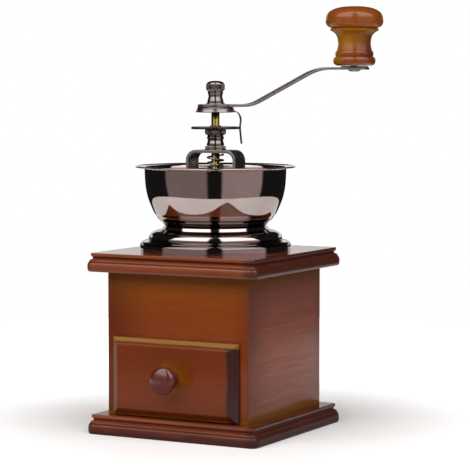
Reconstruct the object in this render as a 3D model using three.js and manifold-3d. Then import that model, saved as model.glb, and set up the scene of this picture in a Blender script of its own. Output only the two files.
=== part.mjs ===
// Hand cranked coffee grinder: a moulded wooden case with a drawer, a metal hopper
// on a stepped ring, conical burrs on a hanging shaft and a bent crank with a knob.
// Millimetres, +Z up, the drawer faces -Y, origin at the centre of the underside.
import * as THREE from "three";
import { mergeVertices } from "three/addons/utils/BufferGeometryUtils.js";
import Module from "manifold-3d";

const wasm = await Module();
wasm.setup();

// Gaps shared by the whole object
const CLEARANCE = 0.3;
const CUT_OVERRUN = 2;
const WELD_DISTANCE = 0.0001;

// Wooden case
const BOARD_OVERHANG = 10.75;
const BOARD_CORNER_RADIUS = 5;
const BASE_HEIGHT = 12.5;
const TOP_HEIGHT = 12;
const LIP_HEIGHT = 1.7;
const LIP_INSET = 2.4;
const LIP_ROUND = 0.5;
const COVE_HEIGHT = 2.1;
const COVE_INSET = 3.1;
const BELLY_HEIGHT = 3.2;
const FOOT_INSET = 0.9;
const BODY_HEIGHT = 93.5;
const BODY_CORNER_RADIUS = 1.5;
const WALL = 9;

// Drawer
const DRAWER_WIDTH = 83.4;
const DRAWER_SIDE_HEIGHT = 45;
const DRAWER_SIDE_GAP = 1.05;
const DRAWER_BACK_GAP = 2.8;
const DRAWER_TOP_GAP = 3.5;
const DRAWER_BOARD = 5;
const DRAWER_FLOOR = 3;
const FRONT_SIDE_OVERLAP = 4.3;
const FRONT_TOP_OVERLAP = 3;
const FRONT_LIFT = 0.7;
const FRONT_THICKNESS = 5.6;
const FRONT_EDGE = 1.8;
const FRONT_BEVEL = 4.7;
const PULL_RADIUS = 9;
const PULL_LENGTH = 17;
const PULL_NECK_RADIUS = 4.6;
const PULL_FOOT_RADIUS = 6.4;
const PULL_BORE_DEPTH = 9;
const PULL_RISE = 1.4;

// Stepped ring that carries the hopper
const RING_RADIUS = 49.6;
const RING_HEIGHT = 16;
const RING_SHEET = 1.3;
const RING_ROUND = 1.2;
const STEP_RADIUS = 43.8;
const COLLAR_RADIUS = 38.6;
const NECK_RADIUS = 34;

// Hopper bowl
const BOWL_SHEET = 1;
const BOWL_RADIUS = 46.6;
const BOWL_HEIGHT = 39.3;
const WALL_TOP_SHARE = 0.91;
const RIM_RADIUS = 52.7;
const RIM_EDGE = 0.9;
const WELL_RADIUS = 28.5;
const THROAT_RADIUS = 15.5;

// Bridge over the throat
const BRIDGE_SPAN = 33;
const BRIDGE_WIDTH = 14;
const BRIDGE_SHEET = 2;
const BRIDGE_HEIGHT = 61.6;
const BRIDGE_TOP_BEND = 5;
const BRIDGE_FOOT_BEND = 2.6;
const BRIDGE_FOOT_REACH = 26;
const BOWL_SCREW_RADIUS = 22.4;

// Burr set
const HOUSING_RADIUS = 27;
const HOUSING_FLANGE_RADIUS = 37;
const HOUSING_FLANGE = 3.4;
const HOUSING_HEIGHT = 20.4;
const HOUSING_SCREW_RADIUS = 33;
const BORE_TOP_RADIUS = 14.5;
const BORE_BOTTOM_RADIUS = 20;
const TOOTH_DEPTH = 1.2;
const BURR_GAP = 0.7;
const BURR_BAND_HEIGHT = 4.5;
const BURR_HEIGHT = 23;
const BURR_TOP_RADIUS = 6.8;
const BURR_RAISE = 1;
const RIDGE_DEPTH = 2.6;
const FINE_TEETH = 24;
const COARSE_RIDGES = 8;
const COLUMNS_PER_TOOTH = 3;
const BELL_POWER = 1.6;

// Lower bearing strap
const STRAP_WIDTH = 10;
const STRAP_SHEET = 2;
const STRAP_DROP = 9;
const STRAP_BEND = 2.6;
const STRAP_SET_IN = 1.5;
const STRAP_SCREW_RADIUS = 24.2;

// Shaft
const SHAFT_RADIUS = 2.73;
const SEAT_RADIUS = 4;
const COLLAR_STOP_RADIUS = 6;
const COLLAR_STOP_HEIGHT = 2;
const SEAT_LENGTH = 22.7;
const SQUARE_SIDE = 3.9;
const THREAD_RADIUS = 1.9;
const THREAD_LENGTH = 9.4;
const TAIL_LENGTH = 3;

// Bushes, washers and nuts
const BUSH_WALL = 1.5;
const BUSH_FLANGE_RADIUS = 7;
const BUSH_FLANGE = 1;
const WASHER_RADIUS = 7;
const WASHER_SHEET = 1;
const BURR_WASHER_SHEET = 1.2;
const BURR_NUT_HEIGHT = 4;
const BURR_NUT_FLATS = 10;
const BURR_NUT_SIDES = 6;
const CRANK_WASHER_RADIUS = 6.4;
const CRANK_WASHER_SHEET = 0.7;

// Spring on the shaft
const SPRING_RADIUS = 5.2;
const SPRING_WIRE_RADIUS = 0.6;
const SPRING_CURLS = 8;

// Adjusting nut and its notched disc
const NUT_RADIUS = 7;
const NUT_FOOT_RADIUS = 5.7;
const NUT_GROOVE_RADIUS = 4.95;
const NUT_BEAD_RADIUS = 5.85;
const NUT_HEIGHT = 11;
const NUT_KNURL_HEIGHT = 3.3;
const NUT_BOSS_RADIUS = 4.2;
const NUT_BOSS_RISE = 0.7;
const KNURL_TEETH = 18;
const KNURL_DEPTH = 0.35;
const DISC_RADIUS = 15.9;
const DISC_SHEET = 1.6;
const DISC_NOTCHES = 24;
const NOTCH_DEPTH = 0.8;

// Locking plate under the crank, with its spring leg
const PLATE_RADIUS = 12.2;
const PLATE_LIP_RADIUS = 13.2;
const PLATE_HEIGHT = 3.2;
const PLATE_SHEET = 0.8;
const PLATE_GAP = 9.7;
const LEG_WIDTH = 4;
const LEG_SHEET = 0.5;
const LEG_REACH = 17.2;
const LEG_LENGTH = 21;
const LEG_SHOULDER_SHARE = 0.65;

// Crank arm
const CRANK_ANGLE = 40;
const ARM_SHEET = 1.7;
const ARM_WIDTH = 13;
const EYE_RADIUS = 11.6;
const EYE_NECK_SHARE = 1.4;
const ARM_REACH = 94;
const ARM_END = 10;
const ARM_RISE = 24.4;
const ARM_SLOPE = 28.5;
const ARM_FLAT = 18;
const ARM_LOWER_BEND = 24;
const ARM_UPPER_BEND = 32;

// Cap nut
const CAP_RADIUS = 6.15;
const CAP_FOOT_RADIUS = 5.4;
const CAP_GROOVE_RADIUS = 4.4;
const CAP_BEAD_RADIUS = 5.15;
const CAP_NECK_RADIUS = 5;
const CAP_HEIGHT = 14.8;
const CAP_KNURL_HEIGHT = 4.9;

// Crank knob
const KNOB_HEIGHT = 39.3;
const KNOB_RADIUS = 19.2;
const KNOB_QUIRK_RADIUS = 16.1;
const KNOB_NECK_RADIUS = 10.9;
const KNOB_BEAD_RADIUS = 12.4;
const KNOB_FOOT_RADIUS = 14.1;
const KNOB_BASE_RADIUS = 11.7;
const KNOB_FULLNESS = 0.8;
const KNOB_BUSH_RADIUS = 4;
const KNOB_BUSH_LENGTH = 23;
const SPINDLE_RADIUS = 2.4;
const SPINDLE_LENGTH = 25;
const RIVET_RADIUS = 4;
const RIVET_HEIGHT = 1.4;
const KNOB_WASHER_RADIUS = 6;
const KNOB_WASHER_SHEET = 0.7;

// Screws
const WOOD_SCREW = { shank: 1.7, length: 24, head: 3.4, headHeight: 2 };
const HOUSING_SCREW = { shank: 1.6, length: 9, head: 2.7, headHeight: 1.7 };
const MACHINE_SCREW = { shank: 1.5, length: 8.5, head: 2.7, headHeight: 1.6 };
const PULL_SCREW = { shank: 1.8, length: 13, head: 3.6, headHeight: 1.6 };

// Facet counts
const CORNER_STEPS = 4;
const SCREW_SEGMENTS = 8;
const SMALL_SEGMENTS = 16;
const TURNED_SEGMENTS = 24;
const HOPPER_SEGMENTS = 36;
const SPRING_SIDES = 5;
const SPRING_STEPS = 8;
const BOWL_STEPS = 7;
const LEG_STEPS = 15;
const ARM_BEND_STEPS = 6;
const KNOB_NECK_STEPS = 6;

// Heights and places that follow from the sizes above
const BODY_SIDE = DRAWER_WIDTH + 2 * (DRAWER_SIDE_GAP + WALL);
const BOARD_SIDE = BODY_SIDE + 2 * BOARD_OVERHANG;
const BASE_TOP = BASE_HEIGHT;
const BODY_TOP = BASE_TOP + BODY_HEIGHT;
const CASE_TOP = BODY_TOP + TOP_HEIGHT;
const HOUSING_TOP = CASE_TOP + HOUSING_FLANGE;
const HOUSING_BOTTOM = HOUSING_TOP - HOUSING_HEIGHT;
const RING_TOP = CASE_TOP + RING_HEIGHT;
const BOWL_FLOOR = HOUSING_TOP + BOWL_SHEET;
const BRIDGE_TOP = BOWL_FLOOR + BRIDGE_HEIGHT;
const BRIDGE_UNDERSIDE = BRIDGE_TOP - BRIDGE_SHEET;
const BURR_BOTTOM = HOUSING_BOTTOM + BURR_RAISE;
const BURR_STOP = BURR_BOTTOM + BURR_HEIGHT + CLEARANCE;
const SHOULDER_HEIGHT = BURR_STOP + COLLAR_STOP_HEIGHT + SEAT_LENGTH;
const BURR_NUT_TOP = BURR_BOTTOM - BURR_WASHER_SHEET;
const STRAP_TOP = HOUSING_BOTTOM - STRAP_DROP;
const SHAFT_BOTTOM = STRAP_TOP - STRAP_SHEET - TAIL_LENGTH;
const THRUST_BOTTOM = BRIDGE_TOP + BUSH_FLANGE + CLEARANCE;
const NUT_BOTTOM = THRUST_BOTTOM + WASHER_SHEET + CLEARANCE;
const DISC_BOTTOM = NUT_BOTTOM + NUT_HEIGHT;
const PLATE_BOTTOM = DISC_BOTTOM + DISC_SHEET + PLATE_GAP;
const PLATE_TOP = PLATE_BOTTOM + PLATE_HEIGHT;
const ARM_TOP = PLATE_TOP + ARM_SHEET;
const CAP_BOTTOM = ARM_TOP + CRANK_WASHER_SHEET;
const KNOB_SEAT = ARM_TOP + ARM_RISE;
const WALL_MIDDLE = (BODY_SIDE - WALL) / 2;
const BORE_CLEAR_RADIUS = SHAFT_RADIUS + CLEARANCE;
const SEAT_CLEAR_RADIUS = SEAT_RADIUS + CLEARANCE;
const BUSH_RADIUS = BORE_CLEAR_RADIUS + BUSH_WALL;
const DRAWER_BOTTOM = BASE_TOP + CLEARANCE;
const DRAWER_FRONT_BACK = BODY_SIDE / 2 + CLEARANCE;
const DRAWER_DEPTH = DRAWER_FRONT_BACK + BODY_SIDE / 2 - WALL - DRAWER_BACK_GAP;
const DRAWER_OPENING_HEIGHT = DRAWER_SIDE_HEIGHT + DRAWER_TOP_GAP;
const FRONT_WIDTH = DRAWER_WIDTH + 2 * FRONT_SIDE_OVERLAP;
const FRONT_HEIGHT = DRAWER_OPENING_HEIGHT + FRONT_TOP_OVERLAP - FRONT_LIFT;
const FRONT_MIDDLE = BASE_TOP + FRONT_LIFT + FRONT_HEIGHT / 2;
const PULL_HEIGHT = FRONT_MIDDLE + PULL_RISE;
const STRAP_INNER_REACH = BORE_BOTTOM_RADIUS - STRAP_SET_IN;
const BURR_COLUMNS = FINE_TEETH * COLUMNS_PER_TOOTH;

const QUARTER_TURN = Math.PI / 2;
const HALF_TURN = Math.PI;
const FULL_TURN = 2 * Math.PI;
const CRANK_TURN = THREE.MathUtils.degToRad(CRANK_ANGLE);

function finish(color, roughness, metalness) {
  return new THREE.MeshStandardMaterial({ color, roughness, metalness, flatShading: true });
}

const FINISHES = {
  wood: () => finish(0x7a3a14, 0.3, 0),
  moulding: () => finish(0x5a2410, 0.28, 0),
  innerWood: () => finish(0xa9713f, 0.6, 0),
  darkChrome: () => finish(0x6a6264, 0.18, 1),
  steel: () => finish(0x9a9896, 0.35, 1),
  brass: () => finish(0x9a8550, 0.32, 1),
  castIron: () => finish(0x3c3c3e, 0.55, 0.8),
  knobWood: () => finish(0x8a470f, 0.25, 0),
};

// Joins shared corners and drops the flat triangles that poles leave behind.
function weld(geometry) {
  const bare = geometry.clone();
  bare.deleteAttribute("normal");
  bare.deleteAttribute("uv");
  const merged = mergeVertices(bare, WELD_DISTANCE);
  const corners = merged.index.array;
  const kept = [];
  for (let i = 0; i < corners.length; i += 3) {
    const [a, b, c] = corners.slice(i, i + 3);
    if (a !== b && b !== c && c !== a) {
      kept.push(a, b, c);
    }
  }
  merged.setIndex(kept);
  return merged;
}

function signedVolume(geometry) {
  const place = geometry.attributes.position;
  const corners = geometry.index.array;
  const [a, b, c] = [new THREE.Vector3(), new THREE.Vector3(), new THREE.Vector3()];
  let sum = 0;
  for (let i = 0; i < corners.length; i += 3) {
    a.fromBufferAttribute(place, corners[i]);
    b.fromBufferAttribute(place, corners[i + 1]);
    c.fromBufferAttribute(place, corners[i + 2]);
    sum += a.dot(b.cross(c)) / 6;
  }
  return sum;
}

// A welded copy whose faces point out of the material.
function outward(geometry) {
  const welded = weld(geometry);
  if (signedVolume(welded) < 0) {
    welded.setIndex(Array.from(welded.index.array).reverse());
  }
  return welded;
}

function toSolid(geometry) {
  const closed = outward(geometry);
  return new wasm.Manifold(
    new wasm.Mesh({
      numProp: 3,
      vertProperties: Float32Array.from(closed.attributes.position.array),
      triVerts: Uint32Array.from(closed.index.array),
    }),
  );
}

function toGeometry(solid) {
  const { vertProperties, triVerts } = solid.getMesh();
  const geometry = new THREE.BufferGeometry();
  geometry.setAttribute("position", new THREE.BufferAttribute(vertProperties, 3));
  geometry.setIndex(Array.from(triVerts));
  return geometry;
}

function cut(geometry, ...tools) {
  const solids = tools.map(toSolid);
  return toGeometry(solids.reduce((left, tool) => left.subtract(tool), toSolid(geometry)));
}

function join(first, second) {
  return toGeometry(toSolid(first).add(toSolid(second)));
}

function common(first, second) {
  return toGeometry(toSolid(first).intersect(toSolid(second)));
}

function closedLine(points) {
  return [...points, points[0]];
}

// A solid of revolution about Z from [radius, height] points.
function turned(profile, segments) {
  const points = profile.map(([radius, height]) => new THREE.Vector2(radius, height));
  return outward(new THREE.LatheGeometry(points, segments).rotateX(QUARTER_TURN));
}

// A turned solid whose rows marked true carry axial knurling.
function turnedWithKnurl(profile, teeth, depth) {
  const points = profile.map(([radius, height]) => new THREE.Vector2(radius, height));
  const geometry = new THREE.LatheGeometry(points, 2 * teeth).rotateX(QUARTER_TURN);
  const place = geometry.attributes.position;
  for (let column = 1; column < 2 * teeth; column += 2) {
    profile.forEach(([radius, , knurled], row) => {
      if (knurled) {
        const vertex = column * profile.length + row;
        const share = (radius - depth) / radius;
        place.setXY(vertex, place.getX(vertex) * share, place.getY(vertex) * share);
      }
    });
  }
  return outward(geometry);
}

// A skin over rings of equal point counts, closed by flat ends or on itself.
function loft(rings, endless = false) {
  const count = rings[0].length;
  const points = rings.flat();
  const corners = [];
  const spans = endless ? rings.length : rings.length - 1;
  for (let i = 0; i < spans; i += 1) {
    const low = i * count;
    const high = ((i + 1) % rings.length) * count;
    for (let j = 0; j < count; j += 1) {
      const next = (j + 1) % count;
      corners.push(low + j, low + next, high + next, low + j, high + next, high + j);
    }
  }
  if (!endless) {
    const centre = (ring) =>
      ring.reduce((sum, point) => sum.add(point), new THREE.Vector3()).divideScalar(count);
    const last = (rings.length - 1) * count;
    const bottom = points.push(centre(rings[0])) - 1;
    const top = points.push(centre(rings[rings.length - 1])) - 1;
    for (let j = 0; j < count; j += 1) {
      const next = (j + 1) % count;
      corners.push(bottom, next, j, top, last + j, last + next);
    }
  }
  const geometry = new THREE.BufferGeometry().setFromPoints(points);
  geometry.setIndex(corners);
  return outward(geometry);
}

function extruded(points, depth, holes = []) {
  const shape = new THREE.Shape(points);
  shape.holes = holes.map((hole) => new THREE.Path(hole));
  return new THREE.ExtrudeGeometry(shape, { depth, bevelEnabled: false });
}

function block(width, depth, height) {
  return new THREE.BoxGeometry(width, depth, height).translate(0, 0, height / 2);
}

function rod(radius, height, segments = SMALL_SEGMENTS) {
  const cylinder = new THREE.CylinderGeometry(radius, radius, height, segments);
  return cylinder.rotateX(QUARTER_TURN).translate(0, 0, height / 2);
}

function circlePoints(radius, segments) {
  const points = [];
  for (let i = 0; i < segments; i += 1) {
    const angle = (i * FULL_TURN) / segments;
    points.push(new THREE.Vector2(radius * Math.cos(angle), radius * Math.sin(angle)));
  }
  return points;
}

function squareRing(half, radius, height) {
  const middle = half - radius;
  const ring = [];
  for (let corner = 0; corner < 4; corner += 1) {
    for (let step = 0; step <= CORNER_STEPS; step += 1) {
      const turn = corner * QUARTER_TURN;
      const angle = turn + (step / CORNER_STEPS) * QUARTER_TURN;
      const across = Math.SQRT2 * middle * Math.cos(turn + QUARTER_TURN / 2);
      const along = Math.SQRT2 * middle * Math.sin(turn + QUARTER_TURN / 2);
      ring.push(
        new THREE.Vector3(
          across + radius * Math.cos(angle),
          along + radius * Math.sin(angle),
          height,
        ),
      );
    }
  }
  return ring;
}

function rectangleRing(width, height, depth) {
  const [x, y] = [width / 2, height / 2];
  return [
    new THREE.Vector3(-x, -y, depth),
    new THREE.Vector3(x, -y, depth),
    new THREE.Vector3(x, y, depth),
    new THREE.Vector3(-x, y, depth),
  ];
}

// The points of a path without the repeats where its arcs meet its lines.
function pathPoints(path, divisions) {
  const line = path.getPoints(divisions);
  return line.filter((point, i) => i === 0 || point.distanceTo(line[i - 1]) > WELD_DISTANCE);
}

// The line that runs beside an open line of Vector2 points at one distance.
function offsetLine(points, distance) {
  const sides = points.slice(1).map((point, i) => {
    const along = point.clone().sub(points[i]).normalize();
    return new THREE.Vector2(-along.y, along.x);
  });
  return points.map((point, i) => {
    const before = sides[Math.max(i - 1, 0)];
    const after = sides[Math.min(i, sides.length - 1)];
    const mitre = before.clone().add(after).divideScalar(1 + before.dot(after));
    return point.clone().addScaledVector(mitre, distance);
  });
}

// A wall of one thickness beside a line, closed round both of its ends.
function sheetOutline(points, thickness) {
  return [...points, ...offsetLine(points, thickness).reverse()];
}

function turnedSheet(points, thickness, segments) {
  const outline = sheetOutline(points, thickness).map((point) => [point.x, point.y]);
  return turned(closedLine(outline), segments);
}

// A flat strip bent along a line in the X and Z plane, its width along Y.
function bentStrip(points, thickness, width) {
  const strip = extruded(sheetOutline(points, thickness), width);
  return strip.rotateX(QUARTER_TURN).translate(0, width / 2, 0);
}

function washer(inner, outer, thickness, segments = SMALL_SEGMENTS) {
  const profile = [
    [inner, 0],
    [outer, 0],
    [outer, thickness],
    [inner, thickness],
  ];
  return turned(closedLine(profile), segments);
}

// Both screws stand with the head's seat at zero and the shank below it.
function panScrew({ shank, length, head, headHeight }) {
  const crown = headHeight / 2;
  const profile = [
    [0, headHeight],
    [head - crown, headHeight],
    [head, crown],
    [head, 0],
    [shank, 0],
    [shank, shank - length],
    [0, -length],
  ];
  return turned(profile, SCREW_SEGMENTS);
}

function sunkScrew({ shank, length, head, headHeight }) {
  const profile = [
    [0, 0],
    [head, 0],
    [shank, -headHeight],
    [shank, shank - length],
    [0, -length],
  ];
  return turned(profile, SCREW_SEGMENTS);
}

function panHole({ shank, length }) {
  const depth = length + CLEARANCE;
  const hole = rod(shank + CLEARANCE, depth + CUT_OVERRUN, SCREW_SEGMENTS);
  return hole.rotateZ(QUARTER_TURN).translate(0, 0, -depth);
}

function sunkHole({ shank, length, head, headHeight }) {
  const profile = [
    [0, CUT_OVERRUN],
    [head + CLEARANCE, CUT_OVERRUN],
    [head + CLEARANCE, 0],
    [shank + CLEARANCE, -headHeight],
    [shank + CLEARANCE, -length - CLEARANCE],
    [0, -length - CLEARANCE],
  ];
  return turned(profile, SCREW_SEGMENTS);
}

function piece(name, geometry, makeFinish, place = {}) {
  const mesh = new THREE.Mesh(outward(geometry), makeFinish());
  mesh.name = name;
  mesh.position.set(place.x ?? 0, place.y ?? 0, place.z ?? 0);
  mesh.rotation.set(place.tilt ?? 0, 0, place.turn ?? 0);
  return mesh;
}

// Evenly spaced places on a circle round the axis.
function aroundAxis(radius, firstAngle, count) {
  const places = [];
  for (let i = 0; i < count; i += 1) {
    const angle = firstAngle + (i * FULL_TURN) / count;
    places.push({ x: radius * Math.cos(angle), y: radius * Math.sin(angle) });
  }
  return places;
}

function holesAt(places, makeHole, z) {
  return places.map(({ x, y }) => makeHole().translate(x, y, z));
}

const baseScrewReach = DRAWER_WIDTH / 3;
const baseScrewPlaces = [
  { x: -WALL_MIDDLE, y: -baseScrewReach },
  { x: WALL_MIDDLE, y: -baseScrewReach },
  { x: WALL_MIDDLE, y: baseScrewReach },
  { x: -WALL_MIDDLE, y: baseScrewReach },
];
const topScrewPlaces = aroundAxis(WALL_MIDDLE, 0, 4);
const housingScrewPlaces = aroundAxis(HOUSING_SCREW_RADIUS, QUARTER_TURN / 2, 4);
const bridgeScrewPlaces = aroundAxis(BOWL_SCREW_RADIUS, 0, 2);
const bowlScrewPlaces = aroundAxis(BOWL_SCREW_RADIUS, QUARTER_TURN, 2);
const strapScrewPlaces = aroundAxis(STRAP_SCREW_RADIUS, 0, 2);

const baseScrewHole = () => sunkHole(WOOD_SCREW).rotateX(HALF_TURN);
const topScrewHole = () => sunkHole(WOOD_SCREW);

// Board with the case's moulding: a belly, a cove and a square lip on top.
function mouldedBoard(height) {
  const coveBottom = height - LIP_HEIGHT - COVE_HEIGHT;
  const lipBottom = height - LIP_HEIGHT;
  const outline = [[FOOT_INSET, 0]];
  for (let step = 0; step <= CORNER_STEPS; step += 1) {
    const angle = (step / CORNER_STEPS) * QUARTER_TURN;
    const inset = COVE_INSET * (1 - Math.cos(angle));
    outline.push([inset, BELLY_HEIGHT + (coveBottom - BELLY_HEIGHT) * Math.sin(angle)]);
  }
  outline.push([COVE_INSET, coveBottom + COVE_HEIGHT / 2]);
  outline.push([LIP_INSET, lipBottom]);
  outline.push([LIP_INSET, height - LIP_ROUND]);
  outline.push([LIP_INSET + LIP_ROUND, height]);
  const rings = outline.map(([inset, level]) => {
    return squareRing(BOARD_SIDE / 2 - inset, BOARD_CORNER_RADIUS - inset, level);
  });
  return loft(rings);
}

function baseBoard() {
  const holes = holesAt(baseScrewPlaces, baseScrewHole, CLEARANCE);
  return piece("base_board", cut(mouldedBoard(BASE_HEIGHT), ...holes), FINISHES.moulding);
}

function topBoard() {
  const well = rod(HOUSING_RADIUS + CLEARANCE, TOP_HEIGHT + 2 * CUT_OVERRUN, HOPPER_SEGMENTS);
  const board = cut(
    mouldedBoard(TOP_HEIGHT),
    well.translate(0, 0, -CUT_OVERRUN),
    ...holesAt(topScrewPlaces, topScrewHole, TOP_HEIGHT - CLEARANCE),
    ...holesAt(housingScrewPlaces, () => panHole(HOUSING_SCREW), TOP_HEIGHT + HOUSING_FLANGE),
  );
  return piece("top_board", board, FINISHES.moulding, { z: BODY_TOP });
}

// One wall of the case with mitred ends, standing on the -Y side.
function wallPanel() {
  const outer = BODY_SIDE / 2;
  const inner = outer - WALL;
  const centre = outer - BODY_CORNER_RADIUS;
  const outline = [new THREE.Vector2(-inner, -inner)];
  for (let step = 0; step <= CORNER_STEPS / 2; step += 1) {
    const angle = -1.5 * QUARTER_TURN + (step / CORNER_STEPS) * QUARTER_TURN;
    const x = -centre + BODY_CORNER_RADIUS * Math.cos(angle);
    outline.push(new THREE.Vector2(x, -centre + BODY_CORNER_RADIUS * Math.sin(angle)));
  }
  const mirrored = outline.map((point) => new THREE.Vector2(-point.x, point.y)).reverse();
  return extruded([...outline, ...mirrored], BODY_HEIGHT);
}

function casePanels() {
  const drawerWay = block(
    DRAWER_WIDTH + 2 * CLEARANCE,
    WALL + 2 * CUT_OVERRUN,
    DRAWER_OPENING_HEIGHT + CUT_OVERRUN,
  ).translate(0, -WALL_MIDDLE, -CUT_OVERRUN);
  const topHole = topScrewHole().translate(0, -WALL_MIDDLE, BODY_HEIGHT + TOP_HEIGHT - CLEARANCE);
  const lowHoles = [-baseScrewReach, baseScrewReach].map((x) => {
    return baseScrewHole().translate(x, -WALL_MIDDLE, CLEARANCE - BASE_HEIGHT);
  });
  const plain = cut(wallPanel(), topHole);
  const side = cut(wallPanel(), topHole, ...lowHoles);
  return [
    piece("front_panel", cut(plain, drawerWay), FINISHES.wood, { z: BASE_TOP }),
    piece("right_panel", side, FINISHES.wood, { z: BASE_TOP, turn: QUARTER_TURN }),
    piece("back_panel", plain, FINISHES.wood, { z: BASE_TOP, turn: HALF_TURN }),
    piece("left_panel", side, FINISHES.wood, { z: BASE_TOP, turn: -QUARTER_TURN }),
  ];
}

function caseScrews() {
  const base = baseScrewPlaces.map((place, i) => {
    const seat = { ...place, z: CLEARANCE, tilt: HALF_TURN };
    return piece(`base_screw_${i + 1}`, sunkScrew(WOOD_SCREW), FINISHES.steel, seat);
  });
  const top = topScrewPlaces.map((place, i) => {
    const seat = { ...place, z: CASE_TOP - CLEARANCE };
    return piece(`top_screw_${i + 1}`, sunkScrew(WOOD_SCREW), FINISHES.steel, seat);
  });
  return [...base, ...top];
}

// Front board of the drawer, lying on its back with its bevelled face up.
function drawerFrontBoard() {
  const rise = FRONT_THICKNESS - FRONT_EDGE;
  const insetShares = [0, 0.12, 0.45, 0.82, 1];
  const riseShares = [0, 0.18, 0.5, 0.9, 1];
  const rings = [rectangleRing(FRONT_WIDTH, FRONT_HEIGHT, 0)];
  insetShares.forEach((share, i) => {
    const inset = 2 * share * FRONT_BEVEL;
    const level = FRONT_EDGE + riseShares[i] * rise;
    rings.push(rectangleRing(FRONT_WIDTH - inset, FRONT_HEIGHT - inset, level));
  });
  const hole = rod(PULL_SCREW.shank + CLEARANCE, FRONT_THICKNESS + 2 * CUT_OVERRUN);
  return cut(loft(rings), hole.translate(0, PULL_RISE, -CUT_OVERRUN));
}

// Turned pull standing on its foot, with a blind hole for its screw.
function drawerPull() {
  const head = PULL_LENGTH - PULL_RADIUS / 2;
  const bore = PULL_SCREW.shank + CLEARANCE;
  const neckShares = [0.08, 0.16, 0.34];
  const shoulderShares = [0.78, 0.9];
  const shoulderRadiusShare = 0.86;
  const profile = [
    [0, PULL_BORE_DEPTH],
    [bore, PULL_BORE_DEPTH],
    [bore, 0],
    [PULL_FOOT_RADIUS, 0],
    [PULL_FOOT_RADIUS - CLEARANCE, PULL_LENGTH * neckShares[0]],
    [PULL_NECK_RADIUS, PULL_LENGTH * neckShares[1]],
    [PULL_NECK_RADIUS, PULL_LENGTH * neckShares[2]],
    [PULL_RADIUS * shoulderRadiusShare, head * shoulderShares[0]],
    [PULL_RADIUS, head * shoulderShares[1]],
    [PULL_RADIUS, head],
  ];
  const domeShares = [0.32, 0.62, 0.84];
  domeShares.forEach((share) => {
    const radius = PULL_RADIUS * Math.cos(share * QUARTER_TURN);
    profile.push([radius, head + (PULL_LENGTH - head) * Math.sin(share * QUARTER_TURN)]);
  });
  profile.push([0, PULL_LENGTH]);
  return turned(profile, TURNED_SEGMENTS);
}

function drawerPieces() {
  const y = -DRAWER_FRONT_BACK;
  const sideMiddle = (DRAWER_WIDTH - DRAWER_BOARD) / 2;
  const innerWidth = DRAWER_WIDTH - 2 * DRAWER_BOARD;
  const sideBoard = () => {
    const board = block(DRAWER_BOARD, DRAWER_DEPTH, DRAWER_SIDE_HEIGHT);
    return board.translate(0, DRAWER_DEPTH / 2, 0);
  };
  const backBoard = block(innerWidth, DRAWER_BOARD, DRAWER_SIDE_HEIGHT);
  const floorDepth = DRAWER_DEPTH - DRAWER_BOARD;
  const floor = block(innerWidth, floorDepth, DRAWER_FLOOR).translate(0, floorDepth / 2, 0);
  const backY = y + DRAWER_DEPTH - DRAWER_BOARD / 2;
  const facing = { y, z: FRONT_MIDDLE, tilt: QUARTER_TURN };
  const pullSeat = { y: y - FRONT_THICKNESS, z: PULL_HEIGHT, tilt: QUARTER_TURN };
  const screwSeat = { y, z: PULL_HEIGHT, tilt: -QUARTER_TURN };
  return [
    piece("drawer_front", drawerFrontBoard(), FINISHES.wood, facing),
    piece("drawer_side_left", sideBoard(), FINISHES.innerWood, { x: -sideMiddle, y, z: DRAWER_BOTTOM }),
    piece("drawer_side_right", sideBoard(), FINISHES.innerWood, { x: sideMiddle, y, z: DRAWER_BOTTOM }),
    piece("drawer_back", backBoard, FINISHES.innerWood, { y: backY, z: DRAWER_BOTTOM }),
    piece("drawer_floor", floor, FINISHES.innerWood, { y, z: DRAWER_BOTTOM }),
    piece("drawer_pull", drawerPull(), FINISHES.wood, pullSeat),
    piece("drawer_pull_screw", panScrew(PULL_SCREW), FINISHES.steel, screwSeat),
  ];
}

// Spun ring with two steps and a collar, drawn up to the neck of the bowl.
function steppedRing() {
  const radii = [
    NECK_RADIUS,
    NECK_RADIUS + RING_ROUND,
    COLLAR_RADIUS - RING_ROUND,
    COLLAR_RADIUS,
    COLLAR_RADIUS + RING_ROUND,
    STEP_RADIUS - RING_ROUND,
    STEP_RADIUS,
    STEP_RADIUS,
    STEP_RADIUS + RING_ROUND,
    RING_RADIUS - RING_ROUND,
    RING_RADIUS,
    RING_RADIUS,
  ];
  const heightShares = [1, 0.93, 0.86, 0.76, 0.66, 0.63, 0.58, 0.46, 0.39, 0.33, 0.26, 0];
  const outline = radii.map((radius, i) => {
    return new THREE.Vector2(radius, heightShares[i] * RING_HEIGHT);
  });
  const ring = turnedSheet(outline, -RING_SHEET, HOPPER_SEGMENTS);
  return piece("stepped_ring", ring, FINISHES.darkChrome, { z: CASE_TOP });
}

// Spun floor of the hopper: a flat ring round the throat and a steep well.
function bowlFloor() {
  const neckRadius = NECK_RADIUS - RING_SHEET - CLEARANCE;
  const outline = [
    new THREE.Vector2(THROAT_RADIUS, 0),
    new THREE.Vector2(WELL_RADIUS - BOWL_SHEET, 0),
    new THREE.Vector2(WELL_RADIUS, BOWL_SHEET),
    new THREE.Vector2(neckRadius, RING_TOP - HOUSING_TOP - CLEARANCE),
  ];
  const places = [...bridgeScrewPlaces, ...bowlScrewPlaces];
  const holes = holesAt(places, () => panHole(MACHINE_SCREW), MACHINE_SCREW.headHeight);
  const floor = cut(turnedSheet(outline, BOWL_SHEET, HOPPER_SEGMENTS), ...holes);
  return piece("bowl_floor", floor, FINISHES.darkChrome, { z: HOUSING_TOP });
}

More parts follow.
